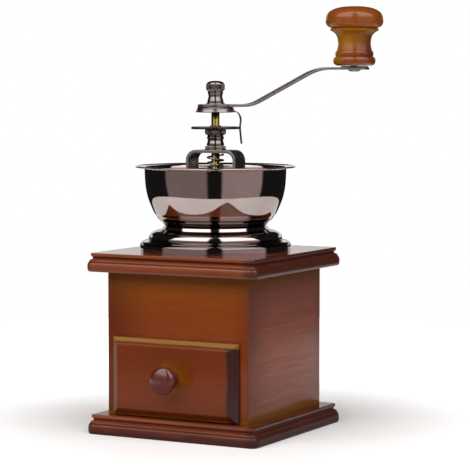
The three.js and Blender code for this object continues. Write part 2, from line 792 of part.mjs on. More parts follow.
// Spun bowl that rests on the ring: round belly and steep wall.
function hopperBowl() {
  const radiusShares = [0, 0.3, 0.68, 0.93, 1];
  const heightShares = [0.03, 0.13, 0.366, 0.623, WALL_TOP_SHARE];
  const wall = new THREE.SplineCurve(
    radiusShares.map((share, i) => {
      const radius = NECK_RADIUS + (BOWL_RADIUS - NECK_RADIUS) * share;
      return new THREE.Vector2(radius, BOWL_HEIGHT * heightShares[i]);
    }),
  );
  const foot = new THREE.Vector2(NECK_RADIUS - RING_SHEET, CLEARANCE);
  const outline = [foot, ...wall.getPoints(BOWL_STEPS)];
  const bowl = turnedSheet(outline, BOWL_SHEET, HOPPER_SEGMENTS);
  return piece("hopper_bowl", bowl, FINISHES.darkChrome, { z: RING_TOP });
}

// Turned out rim on the upper edge of the bowl's wall.
function hopperRim() {
  const rimRadii = [BOWL_RADIUS + RIM_EDGE, RIM_RADIUS - RIM_EDGE, RIM_RADIUS];
  const rimDropShares = [1.6, 1.3, 0.5];
  const outline = [
    new THREE.Vector2(BOWL_RADIUS, BOWL_HEIGHT * WALL_TOP_SHARE + CLEARANCE),
    ...rimRadii.map((radius, i) => {
      return new THREE.Vector2(radius, BOWL_HEIGHT - RIM_EDGE * rimDropShares[i]);
    }),
  ];
  const rim = turnedSheet(outline, BOWL_SHEET, HOPPER_SEGMENTS);
  return piece("hopper_rim", rim, FINISHES.darkChrome, { z: RING_TOP });
}

// Underside of the bridge: foot, leg, top, leg and foot with a bend between each two.
function bridgeLine() {
  const half = BRIDGE_SPAN / 2;
  const path = new THREE.Path();
  const foot = BRIDGE_FOOT_BEND;
  const top = BRIDGE_TOP_BEND;
  path.moveTo(-BRIDGE_FOOT_REACH, 0);
  path.lineTo(-half - foot, 0);
  path.absarc(-half - foot, foot, foot, -QUARTER_TURN, 0);
  path.absarc(top - half, BRIDGE_HEIGHT - BRIDGE_SHEET - top, top, HALF_TURN, QUARTER_TURN, true);
  path.absarc(half - top, BRIDGE_HEIGHT - BRIDGE_SHEET - top, top, QUARTER_TURN, 0, true);
  path.absarc(half + foot, foot, foot, HALF_TURN, 1.5 * HALF_TURN);
  path.lineTo(BRIDGE_FOOT_REACH, 0);
  return path;
}

function bridge() {
  const strip = bentStrip(pathPoints(bridgeLine(), CORNER_STEPS), BRIDGE_SHEET, BRIDGE_WIDTH);
  const bushHole = rod(BUSH_RADIUS + CLEARANCE, BRIDGE_SHEET + 2 * CUT_OVERRUN);
  const bracket = cut(
    strip,
    bushHole.translate(0, 0, BRIDGE_HEIGHT - BRIDGE_SHEET - CUT_OVERRUN),
    ...holesAt(bridgeScrewPlaces, () => panHole(MACHINE_SCREW), BRIDGE_SHEET),
  );
  return piece("bridge_bracket", bracket, FINISHES.steel, { z: BOWL_FLOOR });
}

// A flanged bush hanging through a plate, the flange resting on its upper face.
function flangedBush(plate) {
  const profile = [
    [BORE_CLEAR_RADIUS, -plate],
    [BUSH_RADIUS, -plate],
    [BUSH_RADIUS, 0],
    [BUSH_FLANGE_RADIUS, 0],
    [BUSH_FLANGE_RADIUS, BUSH_FLANGE],
    [BORE_CLEAR_RADIUS, BUSH_FLANGE],
  ];
  return turned(closedLine(profile), SMALL_SEGMENTS);
}

function hopperScrews() {
  const pan = (name, screw, { x, y }, z, tilt = 0) => {
    return piece(name, panScrew(screw), FINISHES.steel, { x, y, z, tilt });
  };
  const footTop = BOWL_FLOOR + BRIDGE_SHEET;
  const strapUnderside = HOUSING_BOTTOM - STRAP_SHEET;
  return [
    ...housingScrewPlaces.map((place, i) => {
      return pan(`housing_screw_${i + 1}`, HOUSING_SCREW, place, HOUSING_TOP);
    }),
    ...bridgeScrewPlaces.map((place, i) => {
      return pan(`bridge_screw_${i + 1}`, MACHINE_SCREW, place, footTop);
    }),
    ...bowlScrewPlaces.map((place, i) => {
      return pan(`bowl_screw_${i + 1}`, MACHINE_SCREW, place, BOWL_FLOOR);
    }),
    ...strapScrewPlaces.map((place, i) => {
      return pan(`strap_screw_${i + 1}`, MACHINE_SCREW, place, strapUnderside, HALF_TURN);
    }),
  ];
}

// Tip radius of the outer burr's bore at a height above its lower face.
function boreTip(height) {
  const share = height / HOUSING_HEIGHT;
  return BORE_BOTTOM_RADIUS + (BORE_TOP_RADIUS - BORE_BOTTOM_RADIUS) * share;
}

// One ring of a burr: the radius grows from tip to root over each tooth.
function burrRing(tip, depth, teeth, height, twist) {
  const columns = BURR_COLUMNS / teeth;
  const ring = [];
  for (let i = 0; i < BURR_COLUMNS; i += 1) {
    const radius = tip + (depth * (i % columns)) / (columns - 1);
    const angle = twist + (i * FULL_TURN) / BURR_COLUMNS;
    ring.push(new THREE.Vector3(radius * Math.cos(angle), radius * Math.sin(angle), height));
  }
  return ring;
}

function burrHousing() {
  const flangeBottom = HOUSING_HEIGHT - HOUSING_FLANGE;
  const lean = FULL_TURN / FINE_TEETH;
  const rings = [
    burrRing(HOUSING_RADIUS, 0, 1, 0, 0),
    burrRing(HOUSING_RADIUS, 0, 1, flangeBottom, 0),
    burrRing(HOUSING_FLANGE_RADIUS, 0, 1, flangeBottom, 0),
    burrRing(HOUSING_FLANGE_RADIUS, 0, 1, HOUSING_HEIGHT, 0),
    burrRing(boreTip(HOUSING_HEIGHT), TOOTH_DEPTH, FINE_TEETH, HOUSING_HEIGHT, 0),
    burrRing(boreTip(flangeBottom / 2), TOOTH_DEPTH, FINE_TEETH, flangeBottom / 2, lean),
    burrRing(boreTip(0), TOOTH_DEPTH, FINE_TEETH, 0, 2 * lean),
  ];
  const holes = [
    ...holesAt(housingScrewPlaces, () => panHole(HOUSING_SCREW), HOUSING_HEIGHT),
    ...holesAt(
      bridgeScrewPlaces,
      () => panHole(MACHINE_SCREW),
      HOUSING_HEIGHT + BOWL_SHEET + BRIDGE_SHEET,
    ),
    ...holesAt(bowlScrewPlaces, () => panHole(MACHINE_SCREW), HOUSING_HEIGHT + BOWL_SHEET),
    ...holesAt(
      strapScrewPlaces,
      () => panHole(MACHINE_SCREW).rotateX(HALF_TURN),
      -STRAP_SHEET,
    ),
  ];
  const housing = cut(loft(rings, true), ...holes);
  return piece("burr_housing", housing, FINISHES.castIron, { z: HOUSING_BOTTOM });
}

// Bell shaped burr: fine teeth in the lower band, deep spiral ridges above it.
function innerBurr() {
  const bandTip = (height) => boreTip(BURR_RAISE + height) - BURR_GAP;
  const bellShares = [1, 0.75, 0.5, 0.25, 0];
  const spiral = FULL_TURN / COARSE_RIDGES;
  const lean = FULL_TURN / FINE_TEETH / 2;
  const rings = [
    burrRing(bandTip(0) - TOOTH_DEPTH, TOOTH_DEPTH, FINE_TEETH, 0, -lean),
    burrRing(bandTip(BURR_BAND_HEIGHT) - TOOTH_DEPTH, TOOTH_DEPTH, FINE_TEETH, BURR_BAND_HEIGHT, 0),
  ];
  const shoulder = bandTip(BURR_BAND_HEIGHT) - TOOTH_DEPTH;
  bellShares.forEach((share) => {
    const tip = BURR_TOP_RADIUS + (shoulder - BURR_TOP_RADIUS) * share ** BELL_POWER;
    const height = BURR_HEIGHT - (BURR_HEIGHT - BURR_BAND_HEIGHT - TOOTH_DEPTH) * share;
    const root = Math.min(RIDGE_DEPTH, (tip - SEAT_CLEAR_RADIUS) / 2);
    rings.push(burrRing(tip - root, root, COARSE_RIDGES, height, (1 - share) * spiral));
  });
  rings.push(burrRing(SEAT_CLEAR_RADIUS, 0, 1, BURR_HEIGHT, spiral));
  rings.push(burrRing(SEAT_CLEAR_RADIUS, 0, 1, 0, spiral));
  return piece("inner_burr", loft(rings, true), FINISHES.castIron, { z: BURR_BOTTOM });
}

// Strap bent down below the burrs, carrying the shaft's lower bush.
function lowerStrap() {
  const path = new THREE.Path();
  const reach = STRAP_INNER_REACH;
  const bend = STRAP_BEND;
  path.moveTo(-HOUSING_RADIUS, 0);
  path.lineTo(-reach - bend, 0);
  path.absarc(-reach - bend, -bend, bend, QUARTER_TURN, 0, true);
  path.absarc(bend - reach, bend - STRAP_DROP, bend, HALF_TURN, 1.5 * HALF_TURN);
  path.absarc(reach - bend, bend - STRAP_DROP, bend, -QUARTER_TURN, 0);
  path.absarc(reach + bend, -bend, bend, HALF_TURN, QUARTER_TURN, true);
  path.lineTo(HOUSING_RADIUS, 0);
  const strip = bentStrip(pathPoints(path, CORNER_STEPS / 2), -STRAP_SHEET, STRAP_WIDTH);
  const bushHole = rod(BUSH_RADIUS + CLEARANCE, STRAP_SHEET + 2 * CUT_OVERRUN);
  const strap = cut(
    strip,
    bushHole.translate(0, 0, -STRAP_DROP - STRAP_SHEET - CUT_OVERRUN),
    ...holesAt(strapScrewPlaces, () => panHole(MACHINE_SCREW).rotateX(HALF_TURN), -STRAP_SHEET),
  );
  return piece("lower_strap", strap, FINISHES.steel, { z: HOUSING_BOTTOM });
}

function shaft() {
  const profile = [
    [0, SHAFT_BOTTOM],
    [SHAFT_RADIUS, SHAFT_BOTTOM],
    [SHAFT_RADIUS, BURR_BOTTOM],
    [SEAT_RADIUS, BURR_BOTTOM],
    [SEAT_RADIUS, BURR_STOP],
    [COLLAR_STOP_RADIUS, BURR_STOP],
    [COLLAR_STOP_RADIUS, BURR_STOP + COLLAR_STOP_HEIGHT],
    [SEAT_RADIUS, BURR_STOP + COLLAR_STOP_HEIGHT],
    [SEAT_RADIUS, SHOULDER_HEIGHT],
    [SHAFT_RADIUS, SHOULDER_HEIGHT],
    [SHAFT_RADIUS, ARM_TOP],
    [THREAD_RADIUS, ARM_TOP],
    [THREAD_RADIUS, ARM_TOP + THREAD_LENGTH],
    [0, ARM_TOP + THREAD_LENGTH],
  ];
  const squareBottom = PLATE_TOP - PLATE_SHEET - CLEARANCE;
  const squareHeight = ARM_TOP - squareBottom;
  const flats = [0, 1, 2, 3].map((side) => {
    const tool = block(SHAFT_RADIUS, 2 * SHAFT_RADIUS, squareHeight + CLEARANCE);
    const reach = (SQUARE_SIDE + SHAFT_RADIUS) / 2;
    return tool.translate(reach, 0, squareBottom).rotateZ(CRANK_TURN + side * QUARTER_TURN);
  });
  return piece("shaft", cut(turned(profile, SMALL_SEGMENTS), ...flats), FINISHES.brass);
}

// Hexagon nut under the burr.
function burrNut() {
  const outline = circlePoints(BURR_NUT_FLATS / Math.sqrt(3), BURR_NUT_SIDES);
  const nut = extruded(outline, BURR_NUT_HEIGHT, [circlePoints(BORE_CLEAR_RADIUS, SMALL_SEGMENTS)]);
  return piece("burr_nut", nut, FINISHES.steel, { z: BURR_NUT_TOP - BURR_NUT_HEIGHT });
}

// Coil spring between the shoulder's washer and the bridge, as one unbroken tube.
function shaftSpring() {
  const bottom = SHOULDER_HEIGHT + WASHER_SHEET + CLEARANCE + SPRING_WIRE_RADIUS;
  const top = BRIDGE_UNDERSIDE - CLEARANCE - SPRING_WIRE_RADIUS;
  const pitch = (top - bottom) / SPRING_CURLS;
  const steps = SPRING_CURLS * SPRING_STEPS;
  const centres = [];
  const rings = [];
  for (let i = 0; i <= steps; i += 1) {
    const angle = (i * FULL_TURN) / SPRING_STEPS;
    const radial = new THREE.Vector3(Math.cos(angle), Math.sin(angle), 0);
    const forward = new THREE.Vector3(-Math.sin(angle), Math.cos(angle), 0)
      .multiplyScalar(SPRING_RADIUS)
      .setZ(pitch / FULL_TURN)
      .normalize();
    const side = new THREE.Vector3().crossVectors(forward, radial);
    const centre = radial.clone().multiplyScalar(SPRING_RADIUS);
    centre.z = bottom + (pitch * i) / SPRING_STEPS;
    centres.push(centre);
    rings.push(
      circlePoints(SPRING_WIRE_RADIUS, SPRING_SIDES).map((point) => {
        return centre.clone().addScaledVector(radial, point.x).addScaledVector(side, point.y);
      }),
    );
  }
  let least = Infinity;
  centres.forEach((centre, i) => {
    centres.slice(i + SPRING_STEPS / 2).forEach((other) => {
      least = Math.min(least, centre.distanceTo(other) - 2 * SPRING_WIRE_RADIUS);
    });
  });
  console.log(`Least gap between the spring's curls: ${least.toFixed(2)} mm`);
  return piece("shaft_spring", loft(rings), FINISHES.steel);
}

// Knurled nut that hangs the shaft on the bridge, and the disc seated on it.
function adjuster() {
  const knurlBottom = NUT_HEIGHT - NUT_KNURL_HEIGHT;
  const waist = knurlBottom - NUT_BEAD_RADIUS / 2;
  const boss = NUT_HEIGHT + DISC_SHEET;
  const profile = [
    [BORE_CLEAR_RADIUS, 0],
    [NUT_FOOT_RADIUS, 0],
    [NUT_FOOT_RADIUS, waist / 3],
    [NUT_GROOVE_RADIUS, waist],
    [NUT_BEAD_RADIUS, (waist + knurlBottom) / 2],
    [NUT_GROOVE_RADIUS, knurlBottom - CLEARANCE],
    [NUT_RADIUS - KNURL_DEPTH, knurlBottom - CLEARANCE],
    [NUT_RADIUS, knurlBottom + CLEARANCE, true],
    [NUT_RADIUS, NUT_HEIGHT - CLEARANCE, true],
    [NUT_RADIUS - KNURL_DEPTH, NUT_HEIGHT],
    [NUT_BOSS_RADIUS, NUT_HEIGHT],
    [NUT_BOSS_RADIUS, boss],
    [NUT_BOSS_RADIUS - NUT_BOSS_RISE, boss + NUT_BOSS_RISE],
    [BORE_CLEAR_RADIUS, boss + NUT_BOSS_RISE],
  ];
  const nut = turnedWithKnurl(closedLine(profile), KNURL_TEETH, KNURL_DEPTH);
  const outline = [];
  const notchShares = [-0.24, -0.12, 0.12, 0.24];
  const depthShares = [0, 1, 1, 0];
  for (let i = 0; i < DISC_NOTCHES; i += 1) {
    notchShares.forEach((share, j) => {
      const angle = ((i + share) * FULL_TURN) / DISC_NOTCHES;
      const radius = DISC_RADIUS - depthShares[j] * NOTCH_DEPTH;
      outline.push(new THREE.Vector2(radius * Math.cos(angle), radius * Math.sin(angle)));
    });
  }
  const hole = circlePoints(NUT_BOSS_RADIUS + CLEARANCE, SMALL_SEGMENTS);
  const disc = extruded(outline, DISC_SHEET, [hole]);
  return [
    piece("adjusting_nut", nut, FINISHES.darkChrome, { z: NUT_BOTTOM }),
    piece("notched_disc", disc, FINISHES.darkChrome, { z: DISC_BOTTOM }),
  ];
}

// Dished plate with a square hole; its leg bends down beside the disc's notches.
function lockingPlate() {
  const hole = SQUARE_SIDE / 2;
  const outline = [
    new THREE.Vector2(hole, PLATE_HEIGHT),
    new THREE.Vector2(PLATE_RADIUS - PLATE_SHEET, PLATE_HEIGHT),
    new THREE.Vector2(PLATE_RADIUS, PLATE_HEIGHT - PLATE_SHEET),
    new THREE.Vector2(PLATE_RADIUS, PLATE_HEIGHT / 2),
    new THREE.Vector2(PLATE_LIP_RADIUS, 0),
  ];
  const dish = turnedSheet(outline, -PLATE_SHEET, TURNED_SEGMENTS);
  const discLevel = -PLATE_GAP - DISC_SHEET / 2;
  const discRim = DISC_RADIUS + CLEARANCE + LEG_SHEET;
  const shoulder = PLATE_LIP_RADIUS + (LEG_REACH - PLATE_LIP_RADIUS) * LEG_SHOULDER_SHARE;
  const leg = new THREE.SplineCurve([
    new THREE.Vector2(PLATE_RADIUS + LEG_SHEET, PLATE_HEIGHT / 4),
    new THREE.Vector2(shoulder, -PLATE_HEIGHT / 3),
    new THREE.Vector2(LEG_REACH, discLevel / 2),
    new THREE.Vector2(discRim, discLevel),
    new THREE.Vector2(LEG_REACH, (discLevel - LEG_LENGTH) / 2),
    new THREE.Vector2(LEG_REACH + LEG_SHEET, -LEG_LENGTH),
  ]);
  const squareHole = block(
    SQUARE_SIDE + 2 * CLEARANCE,
    SQUARE_SIDE + 2 * CLEARANCE,
    PLATE_HEIGHT + 2 * CUT_OVERRUN,
  );
  const whole = join(dish, bentStrip(leg.getPoints(LEG_STEPS), -LEG_SHEET, LEG_WIDTH));
  return cut(whole, squareHole.translate(0, 0, -CUT_OVERRUN));
}

// The arm is the common solid of its bent side view and its plan outline.
function crankArm() {
  const slope = THREE.MathUtils.degToRad(ARM_SLOPE);
  const lower = ARM_LOWER_BEND;
  const upper = ARM_UPPER_BEND;
  const bendRise = (lower + upper) * (1 - Math.cos(slope));
  const bendRun = (lower + upper) * Math.sin(slope);
  const upperStart = ARM_FLAT + bendRun + (ARM_RISE - bendRise) / Math.tan(slope);
  const side = new THREE.Path();
  side.moveTo(-EYE_RADIUS - CUT_OVERRUN, 0);
  side.lineTo(ARM_FLAT, 0);
  side.absarc(ARM_FLAT, lower, lower, -QUARTER_TURN, slope - QUARTER_TURN);
  side.absarc(upperStart, ARM_RISE - upper, upper, QUARTER_TURN + slope, QUARTER_TURN, true);
  side.lineTo(ARM_REACH + ARM_END + CUT_OVERRUN, ARM_RISE);
  const sideLine = pathPoints(side, ARM_BEND_STEPS);
  const strip = bentStrip(sideLine, ARM_SHEET, 2 * EYE_RADIUS + CUT_OVERRUN);
  const half = ARM_WIDTH / 2;
  const neckAngle = EYE_NECK_SHARE * Math.asin(half / EYE_RADIUS);
  const plan = new THREE.Shape();
  plan.absarc(ARM_REACH + ARM_END - half, 0, half, -QUARTER_TURN, QUARTER_TURN);
  plan.lineTo(2 * EYE_RADIUS, half);
  plan.absarc(0, 0, EYE_RADIUS, neckAngle, -neckAngle);
  plan.lineTo(2 * EYE_RADIUS, -half);
  const outline = pathPoints(plan, SMALL_SEGMENTS);
  const blank = extruded(outline, ARM_RISE + 2 * ARM_SHEET + CUT_OVERRUN);
  const squareHole = block(
    SQUARE_SIDE + 2 * CLEARANCE,
    SQUARE_SIDE + 2 * CLEARANCE,
    ARM_SHEET + 2 * CUT_OVERRUN,
  );
  const rivetHole = rod(SPINDLE_RADIUS + CLEARANCE, ARM_SHEET + 2 * CUT_OVERRUN);
  return cut(
    common(strip, blank.translate(0, 0, -ARM_SHEET)),
    squareHole.translate(0, 0, -CUT_OVERRUN),
    rivetHole.translate(ARM_REACH, 0, ARM_RISE - CUT_OVERRUN),
  );
}

// Knurled cap nut with a blind hole for the shaft's threaded end.
function capNut() {
  const bore = THREAD_RADIUS + CLEARANCE;
  const boreTop = THREAD_LENGTH - CRANK_WASHER_SHEET + CLEARANCE;
  const knurlTop = CAP_HEIGHT - CAP_RADIUS / 4;
  const knurlBottom = knurlTop - CAP_KNURL_HEIGHT;
  const groove = CAP_HEIGHT / 3;
  const profile = [
    [0, boreTop],
    [bore, boreTop],
    [bore, 0],
    [CAP_FOOT_RADIUS, 0],
    [CAP_FOOT_RADIUS, groove / 4],
    [CAP_GROOVE_RADIUS, groove],
    [CAP_BEAD_RADIUS, (groove + 2 * knurlBottom) / 3],
    [CAP_NECK_RADIUS, knurlBottom - CLEARANCE],
    [CAP_RADIUS - KNURL_DEPTH, knurlBottom - CLEARANCE],
    [CAP_RADIUS, knurlBottom + CLEARANCE, true],
    [CAP_RADIUS, knurlTop - CLEARANCE, true],
    [CAP_RADIUS - KNURL_DEPTH, knurlTop],
    [CAP_RADIUS / 2, CAP_HEIGHT - CLEARANCE],
    [0, CAP_HEIGHT],
  ];
  return turnedWithKnurl(profile, KNURL_TEETH, KNURL_DEPTH);
}

// Turned crank knob: two beads, a waisted neck with a lip, and a flattened round head.
function crankKnob() {
  const bore = KNOB_BUSH_RADIUS + CLEARANCE;
  const boreTop = SPINDLE_LENGTH + CLEARANCE;
  const beadRadii = [KNOB_FOOT_RADIUS, KNOB_FOOT_RADIUS, KNOB_BEAD_RADIUS, KNOB_BEAD_RADIUS];
  const beadShares = [0.045, 0.11, 0.155, 0.24];
  const flareShares = [0.14, 0, 0.26, 1];
  const neckShares = [0.285, 0.39, 0.515, 0.585];
  const lipShares = [0.6, 0.635];
  const headShare = 0.76;
  const headBottomShare = 0.64;
  const undersideShares = [1, 0.6, 0.25];
  const domeShares = [0, 0.25, 0.45, 0.62, 0.78, 0.9];
  const neck = new THREE.SplineCurve(
    flareShares.map((share, i) => {
      const radius = KNOB_NECK_RADIUS + (KNOB_QUIRK_RADIUS - KNOB_NECK_RADIUS) * share;
      return new THREE.Vector2(radius, neckShares[i] * KNOB_HEIGHT);
    }),
  );
  const head = headShare * KNOB_HEIGHT;
  const underside = head - headBottomShare * KNOB_HEIGHT;
  const round = (share, rise) => {
    const angle = share * QUARTER_TURN;
    const radius = KNOB_RADIUS * Math.cos(angle) ** KNOB_FULLNESS;
    return [radius, head + rise * Math.sin(angle) ** KNOB_FULLNESS];
  };
  const lowRound = (share) => {
    const angle = share * QUARTER_TURN;
    const reach = KNOB_RADIUS - KNOB_QUIRK_RADIUS;
    return [KNOB_QUIRK_RADIUS + reach * Math.cos(angle), head - underside * Math.sin(angle)];
  };
  const profile = [
    [0, boreTop],
    [bore, boreTop],
    [bore, 0],
    [KNOB_BASE_RADIUS, 0],
    ...beadRadii.map((radius, i) => [radius, beadShares[i] * KNOB_HEIGHT]),
    ...neck.getPoints(KNOB_NECK_STEPS).map((point) => [point.x, point.y]),
    ...lipShares.map((share) => [KNOB_QUIRK_RADIUS, share * KNOB_HEIGHT]),
    ...undersideShares.map(lowRound),
    ...domeShares.map((share) => round(share, KNOB_HEIGHT - head)),
    [0, KNOB_HEIGHT],
  ];
  return turned(profile, TURNED_SEGMENTS);
}

// Spindle riveted under the arm; the knob's bush turns on it.
function knobSpindle() {
  const low = -ARM_SHEET;
  const profile = [
    [0, low - RIVET_HEIGHT],
    [RIVET_RADIUS / 2, low - RIVET_HEIGHT],
    [RIVET_RADIUS, low - RIVET_HEIGHT / 2],
    [RIVET_RADIUS, low],
    [SPINDLE_RADIUS, low],
    [SPINDLE_RADIUS, SPINDLE_LENGTH],
    [0, SPINDLE_LENGTH],
  ];
  return turned(profile, SMALL_SEGMENTS);
}

function crankGroup() {
  const crank = new THREE.Group();
  crank.rotation.z = CRANK_TURN;
  const squareWasher = washer(SHAFT_RADIUS, CRANK_WASHER_RADIUS, CRANK_WASHER_SHEET);
  crank.add(
    piece("locking_plate", lockingPlate(), FINISHES.darkChrome, { z: PLATE_BOTTOM }),
    piece("crank_arm", crankArm(), FINISHES.darkChrome, { z: PLATE_TOP }),
    piece("crank_washer", squareWasher, FINISHES.steel, { z: ARM_TOP }),
    piece("cap_nut", capNut(), FINISHES.darkChrome, { z: CAP_BOTTOM }),
  );
  const handle = new THREE.Group();
  handle.position.set(ARM_REACH, 0, KNOB_SEAT);
  const ring = washer(SPINDLE_RADIUS + CLEARANCE, KNOB_WASHER_RADIUS, KNOB_WASHER_SHEET);
  const bush = washer(SPINDLE_RADIUS + CLEARANCE, KNOB_BUSH_RADIUS, KNOB_BUSH_LENGTH);
  const knobBottom = KNOB_WASHER_SHEET + CLEARANCE;
  handle.add(
    piece("knob_spindle", knobSpindle(), FINISHES.steel),
    piece("knob_washer", ring, FINISHES.steel),
    piece("knob_bush", bush, FINISHES.brass, { z: knobBottom }),
    piece("crank_knob", crankKnob(), FINISHES.knobWood, { z: knobBottom }),
  );
  crank.add(handle);
  return crank;
}

const grinder = new THREE.Group();
grinder.add(
  baseBoard(),
  topBoard(),
  ...casePanels(),
  ...caseScrews(),
  ...drawerPieces(),
  steppedRing(),
  bowlFloor(),
  hopperBowl(),
  hopperRim(),
  bridge(),
  piece("bridge_bush", flangedBush(BRIDGE_SHEET), FINISHES.brass, { z: BRIDGE_TOP }),
  burrHousing(),
  innerBurr(),
  lowerStrap(),
  piece("lower_bush", flangedBush(STRAP_SHEET), FINISHES.brass, { z: STRAP_TOP }),
  ...hopperScrews(),
  shaft(),
  piece("burr_washer", washer(BORE_CLEAR_RADIUS, WASHER_RADIUS, BURR_WASHER_SHEET), FINISHES.steel, {
    z: BURR_NUT_TOP,
  }),
  burrNut(),
  piece("spring_washer", washer(BORE_CLEAR_RADIUS, WASHER_RADIUS, WASHER_SHEET), FINISHES.steel, {
    z: SHOULDER_HEIGHT,
  }),
  shaftSpring(),
  piece("thrust_washer", washer(BORE_CLEAR_RADIUS, WASHER_RADIUS, WASHER_SHEET), FINISHES.steel, {
    z: THRUST_BOTTOM,
  }),
  ...adjuster(),
  crankGroup(),
);

export default grinder;
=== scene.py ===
import math

import bmesh
import bpy
from bpy.props import FloatProperty, FloatVectorProperty, IntProperty, PointerProperty
from mathutils import Matrix, Vector


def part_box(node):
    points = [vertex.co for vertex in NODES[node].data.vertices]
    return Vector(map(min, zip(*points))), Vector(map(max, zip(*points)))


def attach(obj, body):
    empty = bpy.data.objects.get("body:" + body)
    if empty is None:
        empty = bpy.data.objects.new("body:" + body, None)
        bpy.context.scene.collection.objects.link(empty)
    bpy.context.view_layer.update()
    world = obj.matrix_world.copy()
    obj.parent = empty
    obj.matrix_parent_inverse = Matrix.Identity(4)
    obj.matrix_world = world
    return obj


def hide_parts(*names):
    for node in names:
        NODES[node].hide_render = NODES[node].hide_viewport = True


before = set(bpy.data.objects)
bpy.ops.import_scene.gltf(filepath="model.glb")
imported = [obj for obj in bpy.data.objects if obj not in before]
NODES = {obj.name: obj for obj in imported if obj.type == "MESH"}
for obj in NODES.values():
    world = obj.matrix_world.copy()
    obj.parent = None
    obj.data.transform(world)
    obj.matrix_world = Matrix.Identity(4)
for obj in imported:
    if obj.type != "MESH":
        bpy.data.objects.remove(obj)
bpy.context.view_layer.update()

bl_info = {
    "name": "Coffee Grinder",
    "version": (1, 0, 0),
    "blender": (4, 5, 0),
    "location": "3D View > Sidebar > Grinder",
    "description": "Dresses the packed box grinder with turned, spun and lacquered pieces",
    "category": "Object",
}

MM = 0.001
TURN = 2 * math.pi
QUARTER = TURN / 4
DEGREE = math.radians(1)


def mm(*values):
    """Millimetres as metres: one number, or a tuple of them."""
    return values[0] * MM if len(values) == 1 else tuple(value * MM for value in values)


def middle(node):
    """Centre of a CAD node's box."""
    low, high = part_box(node)
    return (low + high) / 2


def base_of(node):
    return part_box(node)[0].z


def top_of(node):
    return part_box(node)[1].z


# ---------------------------------------------------------------- properties


def a_count(name, description, default, least):
    return IntProperty(name=name, description=description, default=default, min=least)


def a_number(name, description, default, unit="NONE", subtype="NONE"):
    return FloatProperty(
        name=name, description=description, default=default, unit=unit, subtype=subtype
    )


def a_length(name, description, millimetres):
    return a_number(name, description, mm(millimetres), "LENGTH", "DISTANCE")


def an_angle(name, description, degrees):
    return a_number(name, description, math.radians(degrees), "ROTATION", "ANGLE")


def a_colour(name, description, default):
    return FloatVectorProperty(
        name=name, description=description, default=default, subtype="COLOR", min=0, max=1, size=3
    )


class GRINDER_PG_sizes(bpy.types.PropertyGroup):
    """Sizes of the dressed surfaces that a user may change."""

    turned_segments: a_count("Turned Segments", "Facets round every turned piece", 112, 24)
    edge_round: a_length("Edge Round", "Width of the soft edge on boards", 0.45)
    sheet_round: a_length("Sheet Round", "Width of the soft edge on bent metal", 0.28)
    knurl_teeth: a_count("Knurl Teeth", "Ridges round each knurled nut", 60, 12)
    knurl_depth: a_length("Knurl Depth", "Depth of the knurled ridges", 0.22)
    spring_wire: a_length("Spring Wire", "Radius of the spring's wire", 0.6)
    spring_turns: a_count("Spring Turns", "Turns of the shaft's spring", 8, 2)
    bowl_groove: a_length("Bowl Groove", "Depth of the fine grooves low on the bowl", 0.35)


class GRINDER_PG_finishes(bpy.types.PropertyGroup):
    """Colours of the finishes, as linear values."""

    case_light: a_colour("Case Light", "Lightest stain, front and back", (0.215, 0.042, 0.004))
    case_dark: a_colour("Case Dark", "Darkest grain, front and back", (0.080, 0.013, 0.003))
    # The side walls' stain is greyed: partly the wood's own colour, partly a painted sheen that
    # stands in for the lacquer's reflection.
    side_light: a_colour("Side Light", "Lightest stain, side walls", (0.265, 0.083, 0.050))
    side_dark: a_colour("Side Dark", "Darkest grain, side walls", (0.095, 0.027, 0.017))
    drawer_light: a_colour("Drawer Light", "Lightest stain, drawer's front", (0.136, 0.025, 0.003))
    drawer_dark: a_colour("Drawer Dark", "Darkest grain, drawer's front", (0.060, 0.010, 0.002))
    # Painted shade: this purple brown darkens the drawer's right bevel and the mouldings' feet and
    # right sides.
    bevel: a_colour("Bevel", "Purple brown of shaded bevels and grooves", (0.026, 0.009, 0.010))
    # Painted shade: this cool colour darkens the upper side walls under the top board.
    painted_plum_shade: a_colour("Plum", "Cool shade on the upper side walls", (0.120, 0.055, 0.048))
    burnish: a_colour("Burnish", "Olive stain along the rubbed edges", (0.205, 0.085, 0.004))
    moulding_light: a_colour("Moulding Light", "Lightest stain, mouldings", (0.215, 0.048, 0.011))
    moulding_dark: a_colour("Moulding Dark", "Darkest grain, mouldings", (0.060, 0.010, 0.005))
    pull_light: a_colour("Pull Light", "Lightest stain, drawer's pull", (0.110, 0.018, 0.012))
    pull_dark: a_colour("Pull Dark", "Darkest grain, drawer's pull", (0.035, 0.006, 0.006))
    knob_light: a_colour("Knob Light", "Lightest stain, crank knob", (0.40, 0.120, 0.010))
    knob_dark: a_colour("Knob Dark", "Darkest grain, crank knob", (0.14, 0.026, 0.004))
    knob_red: a_colour("Knob Red", "Stain on the knob's head and foot", (0.215, 0.045, 0.005))
    knob_olive: a_colour("Knob Olive", "Stain on the knob's neck", (0.36, 0.155, 0.004))
    inner_light: a_colour("Inner Light", "Bare board, light", (0.47, 0.29, 0.14))
    inner_dark: a_colour("Inner Dark", "Bare board, grain", (0.27, 0.145, 0.062))
    nickel: a_colour("Nickel", "Polished nickel of the bowl and ring", (0.50, 0.42, 0.395))
    hub_nickel: a_colour("Hub Nickel", "Darker nickel of the hub's parts", (0.30, 0.262, 0.262))
    arm_steel: a_colour("Arm Steel", "Grey brown steel of the arm", (0.34, 0.318, 0.308))
    steel: a_colour("Steel", "Plated steel", (0.42, 0.41, 0.40))
    brass: a_colour("Brass", "Turned brass", (0.42, 0.32, 0.10))
    # Painted dark reflection: black bands laid at set heights on the ring and bowl, where the
    # nickel would mirror dark surroundings and shade.
    painted_dark_reflection: a_colour("Tarnish", "Black patina in the metal's recesses", (0.030, 0.024, 0.024))
    iron: a_colour("Iron", "Bare cast iron", (0.155, 0.150, 0.148))


